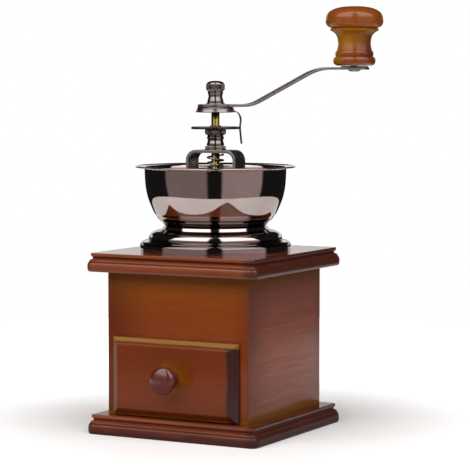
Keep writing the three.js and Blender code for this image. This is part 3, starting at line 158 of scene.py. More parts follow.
class GRINDER_PG_stage(bpy.types.PropertyGroup):
    """Stage, light and camera."""

    azimuth: an_angle("Azimuth", "Camera's turn round the object", 28.87)
    elevation: an_angle("Elevation", "Camera's height above the horizon", 5.36)
    distance: a_length("Distance", "Camera to the aim point", 1385.7)
    aim_height: a_length("Aim Height", "Height of the aim point on the axis", 100)
    focal_pixels: a_number("Focal Length", "Focal length in pixels of the frame", 2100.1)
    floor_radius: a_length("Floor Radius", "Radius of the pale floor", 470)
    floor_back: a_length("Floor Back", "How far behind the object the floor is centred", 185)
    panel_low: a_number("Panel Foot", "Brightness of the soft panels near the horizon", 0.28)
    panel_high: a_number("Panel Head", "Brightness of the soft panels overhead", 2.6)
    right_gain: a_number("Right Gain", "How much brighter the right panel's foot is", 1.6)
    backdrop: a_number("Backdrop", "Brightness behind the object", 0.85)
    key_light: a_number("Key Light", "Power of the soft key light", 8.0, "POWER")


# -------------------------------------------------------------- mesh helpers

WELD, CAD_WELD = 1e-7, 2e-7  # metres: vertices closer than this are one
TURNED_SHARP, LOFT_SHARP, CAD_SHARP = 35, 30, 32  # degrees: edges steeper than this are hard
FLAT = 0.6  # degrees: facets of a CAD node that lie flatter than this are joined


def new_object(name, data):
    piece = bpy.data.objects.new(name, data)
    bpy.context.scene.collection.objects.link(piece)
    return piece


def from_bmesh(name, bm):
    mesh = bpy.data.meshes.new(name)
    bm.to_mesh(mesh)
    bm.free()
    mesh.shade_smooth()
    return new_object(name, mesh)


def closed_off(name, bm, material, sharp=TURNED_SHARP):
    """A smooth object from a bmesh, with its seams closed and its faces pointing outwards."""
    bmesh.ops.remove_doubles(bm, verts=bm.verts, dist=WELD)
    bmesh.ops.recalc_face_normals(bm, faces=bm.faces)
    piece = from_bmesh(name, bm)
    piece.data.set_sharp_from_angle(angle=math.radians(sharp))
    piece.data.materials.append(material)
    return piece


def baked(piece):
    """Replaces an object's modifiers by the plain mesh that they make."""
    graph = bpy.context.evaluated_depsgraph_get()
    mesh = bpy.data.meshes.new_from_object(piece.evaluated_get(graph))
    piece.modifiers.clear()
    piece.data = mesh
    return piece


def seat(piece, body, slot, *nodes):
    """Puts a finished piece on its body in place of its CAD nodes."""
    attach(piece, body)
    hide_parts(*nodes)


def quarter(steps, first=0):
    """Evenly spaced angles up to a quarter turn."""
    return [step / steps * QUARTER for step in range(first, steps + 1)]


def rounded(points, radii, steps=5):
    """A line whose corners are eased, each by its own radius. Its ends stay."""
    line = []
    last = len(points) - 1
    for i, point in enumerate(points):
        here = Vector(point)
        if i in (0, last) or radii[i] <= 0:
            line.append(tuple(here))
            continue
        before = Vector(points[i - 1]) - here
        after = Vector(points[i + 1]) - here
        reach = min(radii[i], before.length * 0.48, after.length * 0.48)
        start = here + before.normalized() * reach
        end = here + after.normalized() * reach
        for step in range(steps + 1):
            t = step / steps
            line.append(tuple(start * (1 - t) ** 2 + here * 2 * t * (1 - t) + end * t**2))
    return line


def curved(points, steps):
    """A smooth line through every point."""
    line = []
    last = len(points) - 1
    for i in range(last):
        p0, p1, p2, p3 = (Vector(points[min(max(i + k, 0), last)]) for k in (-1, 0, 1, 2))
        for step in range(steps):
            t = step / steps
            line.append(tuple(
                0.5 * (2 * p1 + (p2 - p0) * t + (2 * p0 - 5 * p1 + 4 * p2 - p3) * t**2
                       + (3 * p1 - p0 - 3 * p2 + p3) * t**3)
            ))
    return line + [tuple(points[last])]


def walled(points, thickness):
    """The closed outline of a sheet of one thickness on the inner side of a line."""
    inner = []
    last = len(points) - 1
    for i, point in enumerate(points):
        along = (Vector(points[min(i + 1, last)]) - Vector(points[max(i - 1, 0)])).normalized()
        inner.append((point[0] - along.y * thickness, point[1] + along.x * thickness))
    return list(points) + inner[::-1]


def skin(bm, rows, endless):
    """Faces from each row of vertices to the next. A row of one vertex is a tip."""
    pairs = list(zip(rows, rows[1:]))
    if endless:
        pairs.append((rows[-1], rows[0]))
    for low, high in pairs:
        count = max(len(low), len(high))
        for i in range(count):
            j = (i + 1) % count
            corners = (low[i % len(low)], low[j % len(low)],
                       high[j % len(high)], high[i % len(high)])
            bm.faces.new(list(dict.fromkeys(corners)))


def lathe(name, outline, finish, place=(0, 0, 0), closed=False, knurl=None):
    """Turns an outline of (radius, height) in millimetres about Z.

    knurl is the lowest and highest level of the knurled band.
    """
    sizes = bpy.context.scene.grinder_sizes
    segments = sizes.knurl_teeth * 6 if knurl else sizes.turned_segments
    centre = Vector(place)
    bm = bmesh.new()
    rows = []
    for radius, height in outline:
        row = []
        for i in range(segments if radius > 0 else 1):
            angle = TURN * i / segments
            reach = radius * MM
            if knurl and knurl[0] <= height <= knurl[1]:
                reach -= sizes.knurl_depth * (0.5 - 0.5 * math.cos(sizes.knurl_teeth * angle))
            offset = (reach * math.cos(angle), reach * math.sin(angle), height * MM)
            row.append(bm.verts.new(centre + Vector(offset)))
        rows.append(row)
    skin(bm, rows, closed)
    return closed_off(name, bm, MATERIALS[finish])


def loft(name, rings, finish, endless=False, sharp=LOFT_SHARP):
    """A skin over rings of equal point counts, capped at both ends unless it runs round."""
    bm = bmesh.new()
    rows = [[bm.verts.new(point) for point in ring] for ring in rings]
    skin(bm, rows, endless)
    if not endless:
        bm.faces.new(rows[0])
        bm.faces.new(rows[-1])
    return closed_off(name, bm, MATERIALS[finish], sharp)


def refined(node, name, finish, body, slot, width, segments=3):
    """Seats a welded copy of a CAD node with its hard edges softened."""
    bm = bmesh.new()
    bm.from_mesh(NODES[node].data)
    bmesh.ops.remove_doubles(bm, verts=bm.verts, dist=CAD_WELD)
    bmesh.ops.dissolve_limit(
        bm, angle_limit=math.radians(FLAT), verts=bm.verts, edges=bm.edges
    )
    piece = from_bmesh(name, bm)
    bevel = piece.modifiers.new("Edge", "BEVEL")
    bevel.width = width
    bevel.segments = segments
    bevel.limit_method = "ANGLE"
    bevel.angle_limit = math.radians(CAD_SHARP)
    baked(piece)
    piece.data.set_sharp_from_angle(angle=math.radians(CAD_SHARP))
    piece.data.materials.append(MATERIALS[finish])
    seat(piece, body, slot, node)


def square_ring(half, radius, height, corner_steps=10, side_steps=14):
    """Points round a square with rounded corners, evenly laid along its sides."""
    points = []
    inner = half - radius
    for corner in range(4):
        turn = Matrix.Rotation(corner * QUARTER, 3, "Z")
        for angle in quarter(corner_steps):
            x = inner + radius * math.cos(angle)
            y = inner + radius * math.sin(angle)
            points.append(turn @ Vector((x, y, height)))
        for step in range(1, side_steps):
            points.append(turn @ Vector((inner - 2 * inner * step / side_steps, half, height)))
    return points


# ------------------------------------------------------------- node helpers


class Wiring:
    """Adds nodes to a tree. Wherever a value is given, a socket may be, and is joined."""

    def __init__(self, tree):
        self.tree = tree

    def set(self, node, values):
        """Fills a node's inputs, given by name or number."""
        for key, value in values.items():
            if hasattr(value, "is_output"):
                self.tree.links.new(value, node.inputs[key])
            else:
                node.inputs[key].default_value = value

    def add(self, kind, values=None, **settings):
        """A new node's outputs, with its settings made and its inputs filled."""
        node = self.tree.nodes.new(kind)
        for key, value in settings.items():
            setattr(node, key, value)
        self.set(node, values or {})
        return node.outputs

    def maths(self, operation, *values, clamp=False):
        return self.add(
            "ShaderNodeMath", dict(enumerate(values)), operation=operation, use_clamp=clamp
        )[0]

    def plus(self, first, second):
        return self.maths("ADD", first, second)

    def minus(self, first, second):
        return self.maths("SUBTRACT", first, second)

    def times(self, first, second):
        return self.maths("MULTIPLY", first, second)

    def over(self, first, second):
        return self.maths("DIVIDE", first, second)

    def vector_maths(self, operation, *values):
        return self.add("ShaderNodeVectorMath", dict(enumerate(values)), operation=operation)

    def rise(self, value, low, high):
        """Zero below low, one above high, eased between."""
        return self.add(
            "ShaderNodeMapRange", {"From Min": low, "From Max": high, "Value": value},
            interpolation_type="SMOOTHSTEP",
        )["Result"]

    def fall(self, value, low, high):
        return self.minus(1.0, self.rise(value, low, high))

    def noise(self, vector, stretch, detail=4.0, roughness=0.6):
        """Noise with waves per metre along each axis. Grain runs along X."""
        mapped = self.add("ShaderNodeMapping", {"Vector": vector, "Scale": stretch})[0]
        return self.add("ShaderNodeTexNoise", {
            "Vector": mapped, "Scale": 1.0, "Detail": detail, "Roughness": roughness,
        })["Fac"]

    def mix(self, factor, first, second):
        return self.add(
            "ShaderNodeMix", {0: factor, 6: first, 7: second}, data_type="RGBA"
        )[2]

    def effect(self, name, vector, values):
        """The outputs of a shared effect, with its named inputs filled."""
        return self.add(
            "ShaderNodeGroup", {"Vector": vector, **values}, node_tree=bpy.data.node_groups[name]
        )

    def layered(self, vector, tint, layers):
        """A colour with its layers laid over it."""
        for group, values, amount, layer_tint in layers:
            mask = self.effect(group, vector, values)["Mask"]
            tint = self.mix(self.times(mask, amount), tint, (*layer_tint, 1))
        return tint

    def bump(self, shader, height, distance, strength):
        normal = self.add(
            "ShaderNodeBump", {"Height": height, "Distance": distance, "Strength": strength}
        )[0]
        self.set(shader, {"Normal": normal})


def node_group(name, kind, inputs, outputs):
    """A node group's wiring, its inputs, and the node that its outputs go to.

    inputs and outputs name the sockets, each with its type.
    """
    group = bpy.data.node_groups.new(name, kind)
    for side, sockets in (("INPUT", inputs), ("OUTPUT", outputs)):
        for label, socket_type in sockets.items():
            group.interface.new_socket(
                label, in_out=side, socket_type=f"NodeSocket{socket_type}"
            )
    start = group.nodes.new("NodeGroupInput")
    return Wiring(group), start.outputs, group.nodes.new("NodeGroupOutput")


def timber_group():
    """Grain: broad colour figure, fine streaks and short dark pores, with its height."""
    wires, start, end = node_group(
        "Timber Grain", "ShaderNodeTree",
        {"Vector": "Vector", "Light": "Color", "Dark": "Color", "Figure": "Float",
         "Pores": "Float"},
        {"Color": "Color", "Height": "Float", "Streak": "Float"},
    )
    vector = start["Vector"]
    broad = wires.rise(wires.noise(vector, (4, 26, 26), detail=3), 0.32, 0.72)
    streak = wires.rise(wires.noise(vector, (24, 760, 760), 5, roughness=0.66), 0.30, 0.74)
    pore = wires.rise(wires.noise(vector, (75, 1900, 1900), 2, roughness=0.5), 0.60, 0.72)
    blend = wires.plus(wires.times(broad, 0.4), wires.times(streak, 0.6))
    figure = wires.maths("MULTIPLY", blend, start["Figure"], clamp=True)
    pores = wires.maths("MULTIPLY", pore, start["Pores"], clamp=True)
    base = wires.mix(figure, start["Light"], start["Dark"])
    wires.set(end, {
        "Color": wires.mix(pores, base, start["Dark"]),
        "Height": wires.minus(wires.times(streak, 0.25), pores),
        "Streak": streak,
    })


def edge_group():
    """Mask that rises near the edges of a box, broken up a little by noise."""
    wires, start, end = node_group(
        "Edge Shade", "ShaderNodeTree",
        {"Vector": "Vector", "Centre": "Vector", "Half Size": "Vector", "Width": "Float",
         "Core": "Float"},
        {"Mask": "Float"},
    )
    shift = wires.vector_maths("SUBTRACT", start["Vector"], start["Centre"])[0]
    size = wires.vector_maths("ABSOLUTE", shift)[0]
    gap = wires.vector_maths("SUBTRACT", start["Half Size"], size)[0]
    x, y, z = wires.add("ShaderNodeSeparateXYZ", {0: gap})
    nearest = wires.maths("MINIMUM", wires.maths("MINIMUM", x, y), z)
    cloud = wires.minus(wires.noise(start["Vector"], (55, 55, 55), 3), 0.5)
    broken = wires.plus(wires.over(nearest, start["Width"]), wires.times(cloud, 0.5))
    past_core = wires.over(
        wires.minus(broken, start["Core"]), wires.minus(1.0, start["Core"])
    )
    wires.set(end, {"Mask": wires.fall(past_core, 0.0, 1.0)})


def level_group():
    """Mask of a level band: full at its height and gone one width above and below."""
    wires, start, end = node_group(
        "Level Band", "ShaderNodeTree",
        {"Vector": "Vector", "Level": "Float", "Width": "Float"}, {"Mask": "Float"},
    )
    height = wires.add("ShaderNodeSeparateXYZ", {0: start["Vector"]})[2]
    gap = wires.maths("ABSOLUTE", wires.minus(height, start["Level"]))
    wires.set(end, {"Mask": wires.fall(wires.over(gap, start["Width"]), 0.3, 1.0)})


def halo_group():
    """Mask that is full within a radius of a centre and fades over a width."""
    wires, start, end = node_group(
        "Round Shade", "ShaderNodeTree",
        {"Vector": "Vector", "Centre": "Vector", "Radius": "Float", "Width": "Float"},
        {"Mask": "Float"},
    )
    gap = wires.vector_maths("DISTANCE", start["Vector"], start["Centre"])["Value"]
    cloud = wires.minus(wires.noise(start["Vector"], (90, 90, 90), 3), 0.5)
    reach = wires.over(wires.minus(gap, start["Radius"]), start["Width"])
    broken = wires.plus(reach, wires.times(cloud, 0.6))
    wires.set(end, {"Mask": wires.fall(broken, 0.0, 1.0)})


def wear_group():
    """Faint handling marks: hairlines and soft smears that vary the gloss."""
    wires, start, end = node_group(
        "Handling Marks", "ShaderNodeTree",
        {"Vector": "Vector", "Base": "Float", "Spread": "Float"},
        {"Roughness": "Float", "Height": "Float"},
    )
    smear = wires.rise(wires.noise(start["Vector"], (30, 30, 55), 4), 0.40, 0.75)
    hair = wires.rise(wires.noise(start["Vector"], (60, 2300, 2300), 2), 0.63, 0.70)
    both = wires.plus(wires.times(smear, 0.7), wires.times(hair, 0.3))
    rough = wires.plus(start["Base"], wires.times(both, start["Spread"]))
    wires.set(end, {"Roughness": rough, "Height": hair})


# ---------------------------------------------------------------- materials

GRAIN_ALONG = {"X": (0, 0, 0), "Y": (0, 0, QUARTER), "Z": (0, QUARTER, 0)}
QUIRK_DROP = 5.75  # millimetres from the mouldings' top down to the fine line cut in them
FAR = 1.0  # metres: half a box so wide that its edges leave no shade
MATERIALS = {}


def edge_layer(centre, half, width, amount, tint, core=0.0):
    """A tint along every edge of a box."""
    sizes = {"Centre": centre, "Half Size": half, "Width": width, "Core": core}
    return "Edge Shade", sizes, amount, tint


def side_layer(axis, place, inward, width, amount, tint, core=0.0):
    """A tint along one side: from a plane across an axis inwards, 1 or -1 along that axis."""
    centre = [0.0, 0.0, 0.0]
    centre["XYZ".index(axis)] = place + inward * FAR
    return edge_layer(centre, (FAR, FAR, FAR), width, amount, tint, core)


def level_layer(level, width, amount, tint):
    """A tint round a piece at one height."""
    return "Level Band", {"Level": level, "Width": width}, amount, tint


def halo_layer(centre, radius, width, amount, tint):
    """A tint round a point."""
    return "Round Shade", {"Centre": centre, "Radius": radius, "Width": width}, amount, tint


def shaded(tint, share):
    return tuple(channel * share for channel in tint)


def new_material(name):
    """A material, its wiring, its shader and its Object coordinates."""
    material = bpy.data.materials.new(name)
    material.use_nodes = True
    wires = Wiring(material.node_tree)
    vector = wires.add("ShaderNodeTexCoord")["Object"]
    return material, wires, material.node_tree.nodes["Principled BSDF"], vector


def grained(wires, vector, stain, along, figure, pores):
    """Grain that runs along an axis."""
    light, dark = stain
    turned = wires.add("ShaderNodeMapping", {"Vector": vector, "Rotation": GRAIN_ALONG[along]})[0]
    return wires.effect("Timber Grain", turned, {
        "Light": (*light, 1), "Dark": (*dark, 1), "Figure": figure, "Pores": pores,
    })


def lacquered(name, stain, along, coat, figure=0.4, pores=0.3, layers=(), dull=()):
    """Stained wood under lacquer.

    coat is the lacquer's weight, roughness and index. dull holds layers where little lacquer
    is left, and their tint isn't used.
    """
    material, wires, shader, vector = new_material(name)
    grain = grained(wires, vector, stain, along, figure, pores)
    tint = wires.layered(vector, grain["Color"], layers)
    marks = wires.effect("Handling Marks", vector, {"Base": 0.34, "Spread": 0.12})
    weight, roughness, index = coat
    for group, values, amount, _ in dull:
        worn = wires.times(wires.effect(group, vector, values)["Mask"], amount)
        weight = wires.times(wires.minus(1.0, worn), weight)
    wires.set(shader, {
        "Base Color": tint, "Roughness": marks["Roughness"], "Specular IOR Level": 0.06,
        "Coat Weight": weight, "Coat Roughness": roughness, "Coat IOR": index,
    })
    wires.bump(shader, grain["Height"], mm(0.05), 0.2)
    return material


def bare_wood(name, stain, along):
    material, wires, shader, vector = new_material(name)
    grain = grained(wires, vector, stain, along, 0.8, 0.7)
    rough = wires.plus(wires.times(grain["Streak"], 0.12), 0.58)
    wires.set(shader, {"Base Color": grain["Color"], "Roughness": rough})
    wires.bump(shader, grain["Height"], mm(0.09), 0.5)
    return material


def metal(name, tint, rough, spread, brushing=0.0, variation=0.12, layers=()):
    """Metal with handling marks. brushing is the strength of its fine lines."""
    material, wires, shader, vector = new_material(name)
    cloud = wires.rise(wires.noise(vector, (45, 45, 45), 4), 0.3, 0.75)
    cloudy = wires.mix(cloud, (*tint, 1), (*shaded(tint, 1 - variation), 1))
    tinted = wires.layered(vector, cloudy, layers)
    marks = wires.effect("Handling Marks", vector, {"Base": rough, "Spread": spread})
    wires.set(shader, {
        "Base Color": tinted, "Metallic": 1.0, "Roughness": marks["Roughness"],
    })
    if brushing:
        wires.bump(shader, marks["Height"], mm(0.02), brushing)
    return material


def cast_iron(name, tint):
    material, wires, shader, vector = new_material(name)
    rough_skin = wires.noise(vector, (900, 900, 900), 5, roughness=0.65)
    crust = wires.rise(rough_skin, 0.35, 0.68)
    wires.set(shader, {
        "Base Color": wires.mix(crust, (*shaded(tint, 0.45), 1), (*tint, 1)),
        "Metallic": 1.0,
        "Roughness": wires.plus(wires.times(rough_skin, 0.3), 0.32),
    })
    wires.bump(shader, rough_skin, mm(0.12), 0.6)
    return material


def tone(name):
    return tuple(getattr(bpy.context.scene.grinder_finishes, name))


def stain(name):
    """A stain's lightest and darkest colour."""
    return tone(f"{name}_light"), tone(f"{name}_dark")


def panel_woods():
    """The four walls, each darker towards its left and rubbed along its head and foot; the side
    walls also carry painted shade along their upper part.
    """
    olive = tone("burnish")
    for side, along, kind in (
        ("Front", "X", "case"), ("Back", "X", "case"), ("Left", "Y", "side"), ("Right", "Y", "side")
    ):
        node = f"{side.lower()}_panel"
        low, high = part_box(node)
        half = list((high - low) / 2)
        if kind == "case":
            half[1], start, rub, figure, coat = FAR, low.x, 5, 0.5, (0.5, 0.16, 1.36)
            head = side_layer("Z", high.z, -1, mm(34), 0.28, olive)
        else:
            half[0], start, rub, figure, coat = FAR, low.y, 11, 0.8, (0.45, 0.2, 1.3)
            # Painted shade along the side walls' upper part, under the top board.
            head = side_layer("Z", high.z, -1, mm(62), 0.5, tone("painted_plum_shade"))
        dark = stain(kind)[1]
        MATERIALS[node] = lacquered(f"{side} Panel Wood", stain(kind), along, coat, figure, layers=(
            edge_layer(middle(node), half, mm(14), 0.4, dark),
            side_layer(along, start, 1, mm(36), 0.75, dark),
            head,
            edge_layer(middle(node), (FAR, FAR, half[2]), mm(rub), 0.65, olive),
        ))


def drawer_woods():
    """The drawer's front with painted shade on its right bevel, its pull, and the bare boards."""
    olive = tone("burnish")
    low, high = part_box("drawer_front")
    half = list((high - low) / 2)
    half[1] = FAR
    MATERIALS["drawer_front"] = lacquered(
        "Drawer Front Wood", stain("drawer"), "X", (0.45, 0.12, 1.38), layers=(
            side_layer("Z", low.z, 1, mm(16), 0.5, stain("drawer")[1]),
            halo_layer(middle("drawer_pull"), mm(8), mm(9), 0.5, olive),
            edge_layer(middle("drawer_front"), half, mm(1.4), 0.6, olive, 0.5),
            # Painted shade: the right bevel is darkened with the purple brown shade colour.
            side_layer("X", high.x, -1, mm(7.4), 0.93, tone("bevel"), 0.75),
            side_layer("Z", high.z, -1, mm(3.2), 0.9, olive, 0.7),
        ))
    MATERIALS["pull"] = lacquered("Pull Wood", stain("pull"), "Y", (1.0, 0.14, 1.6), 0.6, dull=(
        side_layer("Z", base_of("drawer_pull"), 1, mm(11), 0.85, None, 0.55),
    ))
    MATERIALS["inner_x"] = bare_wood("Bare Board Across", stain("inner"), "X")
    MATERIALS["inner_y"] = bare_wood("Bare Board Along", stain("inner"), "Y")


def moulding_woods():
    """The two moulded boards, with painted shade in their grooves, at their right side and at their
    foot.
    """
    painted_shade_tint, dark = tone("bevel"), stain("moulding")[1]
    for name, node, figure, shade_height, foot_shade, foot_dull, coat in (
        ("Base Moulding Wood", "base_board", 0.9, 9, 0.85, 0.95, (0.62, 0.11, 1.45)),
        ("Top Moulding Wood", "top_board", 0.6, 4.6, 0.3, 0.35, (0.9, 0.10, 1.52)),
    ):
        low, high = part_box(node)
        quirk = high.z - mm(QUIRK_DROP)
        MATERIALS[node] = lacquered(name, stain("moulding"), "X", coat, figure, layers=(
            # Painted shade: purple brown at each board's foot and along its right side.
            side_layer("Z", low.z, 1, mm(shade_height), foot_shade, painted_shade_tint, 0.2),
            side_layer("X", high.x, -1, mm(11), 0.68, painted_shade_tint, 0.45),
            # Painted shade: dark bands in the groove under the lip and in the fine line cut in the
            # torus.
            level_layer(high.z - mm(3.0), mm(1.1), 0.9, dark),
            level_layer(quirk, mm(0.9), 0.8, dark),
        ), dull=(
            side_layer("Z", low.z, 1, mm(6.0), foot_dull, None, 0.45),
            level_layer(high.z - mm(2.8), mm(1.3), 0.9, None),
            level_layer(quirk, mm(0.9), 0.8, None),
        ))


def knob_wood():
    """The crank knob: red head and foot, olive neck, with painted light on its left foot and
    painted shade on its right neck.
    """
    foot, centre = base_of("crank_knob"), middle("crank_knob")
    red, olive = tone("knob_red"), tone("knob_olive")
    # Painted light and shade: a lighter olive patch on the knob's left foot and a dark patch on its
    # right neck, at fixed places.
    painted_light_spot = Vector((centre.x, centre.y, foot)) + Vector(mm(-12, -8, 4))
    painted_dark_spot = painted_light_spot + Vector(mm(24, 6, 8))
    MATERIALS["knob"] = lacquered(
        "Crank Knob Wood", stain("knob"), "Z", (1.0, 0.18, 1.5), 0.65, 0.25, layers=(
            level_layer(foot + mm(19), mm(9), 0.75, olive),
            level_layer(foot + mm(5.5), mm(8), 0.85, red),
            side_layer("Z", top_of("crank_knob"), -1, mm(14), 0.75, red, 0.5),
            halo_layer(painted_light_spot, mm(4), mm(10), 0.75, olive),
            halo_layer(painted_dark_spot, mm(4), mm(12), 0.7, stain("pull")[0]),
        ), dull=(level_layer(foot + mm(22.5), mm(6), 0.85, None),))


def metals():
    """Nickel with painted dark reflections in bands at set heights, steel, brass and iron."""
    ring_foot = base_of("stepped_ring")
    # Each band is a level and a width in millimetres above the ring's foot, and an amount of
    # painted dark reflection.
    for key, name, bands in (
        ("ring_nickel", "Ring Nickel", ((5.3, 1.5, 0.8), (7.6, 1.0, 0.85), (13.2, 1.1, 0.85))),
        ("bowl_nickel", "Bowl Nickel", ((17.6, 2.4, 0.9), (21.0, 0.9, 0.6))),
    ):
        MATERIALS[key] = metal(name, tone("nickel"), 0.045, 0.05, layers=[
            level_layer(ring_foot + mm(level), mm(width), amount, tone("painted_dark_reflection"))
            for level, width, amount in bands
        ])
    hub = tone("hub_nickel")
    for key, *finish in (
        ("hub_nickel", "Hub Nickel", hub, 0.13, 0.10),
        # Painted shade: the disc and the plate are darker copies of the hub's nickel.
        ("disc_nickel", "Disc Nickel", shaded(hub, 0.47), 0.2, 0.11),
        ("plate_nickel", "Plate Nickel", shaded(hub, 0.85), 0.27, 0.11),
        ("arm_steel", "Arm Steel", tone("arm_steel"), 0.30, 0.12, 0.15),
        ("steel", "Plated Steel", tone("steel"), 0.26, 0.10, 0.12),
        ("brass", "Turned Brass", tone("brass"), 0.2, 0.12, 0.2, 0.3),
    ):
        MATERIALS[key] = metal(*finish)
    MATERIALS["iron"] = cast_iron("Cast Iron", tone("iron"))


def make_materials():
    for step in (timber_group, edge_group, level_group, halo_group, wear_group,
                 panel_woods, drawer_woods, moulding_woods, knob_wood, metals):
        step()


# ------------------------------------------------------------------- pieces


def moulding_profile(height):
    """Inset and height, in millimetres, up the moulded edge of a board."""
    foot, belly = 0.9, 3.2  # the rounded foot's inset and height
    cove_inset, cove, lip_inset, lip = 3.6, 2.1, 2.4, 1.7  # the groove and the board over it
    quirk_depth, quirk_width = 0.4, 0.38
    cove_bottom = height - lip - cove
    points = [(foot * (1 - math.sin(angle)), belly * (1 - math.cos(angle)))
              for angle in quarter(8)]
    for angle in quarter(32, 1):
        level = belly + (cove_bottom - belly) * math.sin(angle)
        off_quirk = (level - height + QUIRK_DROP) / quirk_width
        quirk = quirk_depth * math.exp(-(off_quirk ** 2))
        points.append((cove_inset * (1 - math.cos(angle)) + quirk, level))
    return points + rounded(
        [(cove_inset, cove_bottom), (cove_inset, cove_bottom + cove * 0.55),
         (lip_inset, cove_bottom + cove * 0.92), (lip_inset, height), (lip_inset + 2.0, height)],
        [0, 0.6, 0.25, 0.55, 0],
    )[1:]


class GRINDER_OT_case_boards(bpy.types.Operator):
    """Make the moulded base board and top board"""

    bl_idname = "grinder.case_boards"
    bl_label = "Case Boards"

    def execute(self, context):
        corner, sharpest_corner, well_radius = mm(5, 0.6, 27.3)
        for node, name in (("base_board", "moulded_base"), ("top_board", "moulded_top")):
            low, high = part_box(node)
            rings = []
            for inset, level in moulding_profile((high.z - low.z) / MM):
                half = (high.x - low.x) / 2 - mm(inset)
                radius = max(corner - mm(inset), sharpest_corner)
                rings.append(square_ring(half, radius, low.z + mm(level)))
            has_well = node == "top_board"
            if has_well:
                bearings = [math.atan2(point.y, point.x) for point in rings[0]]
                well_foot, well_mouth = (
                    [Vector((well_radius * math.cos(bearing), well_radius * math.sin(bearing), z))
                     for bearing in bearings]
                    for z in (low.z, high.z)
                )
                rings = [well_foot, *rings, well_mouth]
            board = loft(name, rings, node, has_well)
            seat(board, "case", "moulding_wood", node)
        return {"FINISHED"}


class GRINDER_OT_case_panels(bpy.types.Operator):
    """Soften and stain the four walls of the case"""

    bl_idname = "grinder.case_panels"
    bl_label = "Case Panels"

    def execute(self, context):
        width = context.scene.grinder_sizes.edge_round * 0.4
        for side in ("front", "right", "back", "left"):
            node = f"{side}_panel"
            refined(node, f"{side}_wall", node, "case", "case_wood", width)
        return {"FINISHED"}


class GRINDER_OT_drawer(bpy.types.Operator):
    """Make the drawer: bevelled front, turned pull and bare boards"""

    bl_idname = "grinder.drawer"
    bl_label = "Drawer"

    def execute(self, context):
        low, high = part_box("drawer_front")
        centre = middle("drawer_front")
        half_x, half_z = (high.x - low.x) / 2, (high.z - low.z) / 2
        rings = []
        for inset, rise in rounded(
            [(0, 0), (0, 1.9), (0.7, 2.4), (2.2, 3.2), (3.7, 4.7), (4.4, 5.1), (4.9, 5.6),
             (6.6, 5.6)],
            [0, 0.5, 0.3, 1.2, 0.5, 0.2, 0.5, 0], 4,
        ):
            x, z, y = half_x - mm(inset), half_z - mm(inset), high.y - mm(rise)
            rings.append([Vector((centre.x + right * x, y, centre.z + up * z))
                          for right, up in ((-1, -1), (1, -1), (1, 1), (-1, 1))])
        front = loft("bevelled_front", rings, "drawer_front", sharp=24)
        seat(front, "drawer", "drawer_wood", "drawer_front")

        pull_low, pull_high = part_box("drawer_pull")
        length = (pull_high.y - pull_low.y) / MM
        cap_radius, cap_level = 9, 12.3
        outline = rounded(
            [(0, 9), (2.1, 9), (2.1, 0), (4.7, 0), (4.7, 1.2), (4.2, 2.6), (4.3, 5.6), (6.4, 8.2),
             (8.6, 9.9)],
            [0, 0.1, 0.1, 0.3, 0.5, 1.2, 1.4, 1.0, 0],
        )
        for angle in quarter(12):
            rise = (length - cap_level) * math.sin(angle)
            outline.append((cap_radius * math.cos(angle), cap_level + rise))
        outline[-1] = (0, length)
        pull = lathe("turned_pull", outline, "pull")
        place = middle("drawer_pull")
        pull.data.transform(
            Matrix.Translation((place.x, pull_high.y, place.z)) @ Matrix.Rotation(QUARTER, 4, "X")
        )
        seat(pull, "drawer", "drawer_wood", "drawer_pull")
        width = context.scene.grinder_sizes.edge_round
        for node, name, finish in (
            ("drawer_side_left", "drawer_left_board", "inner_y"),
            ("drawer_side_right", "drawer_right_board", "inner_y"),
            ("drawer_back", "drawer_back_board", "inner_x"),
            ("drawer_floor", "drawer_floor_board", "inner_x"),
        ):
            refined(node, name, finish, "drawer", "inner_wood", width)
        return {"FINISHED"}


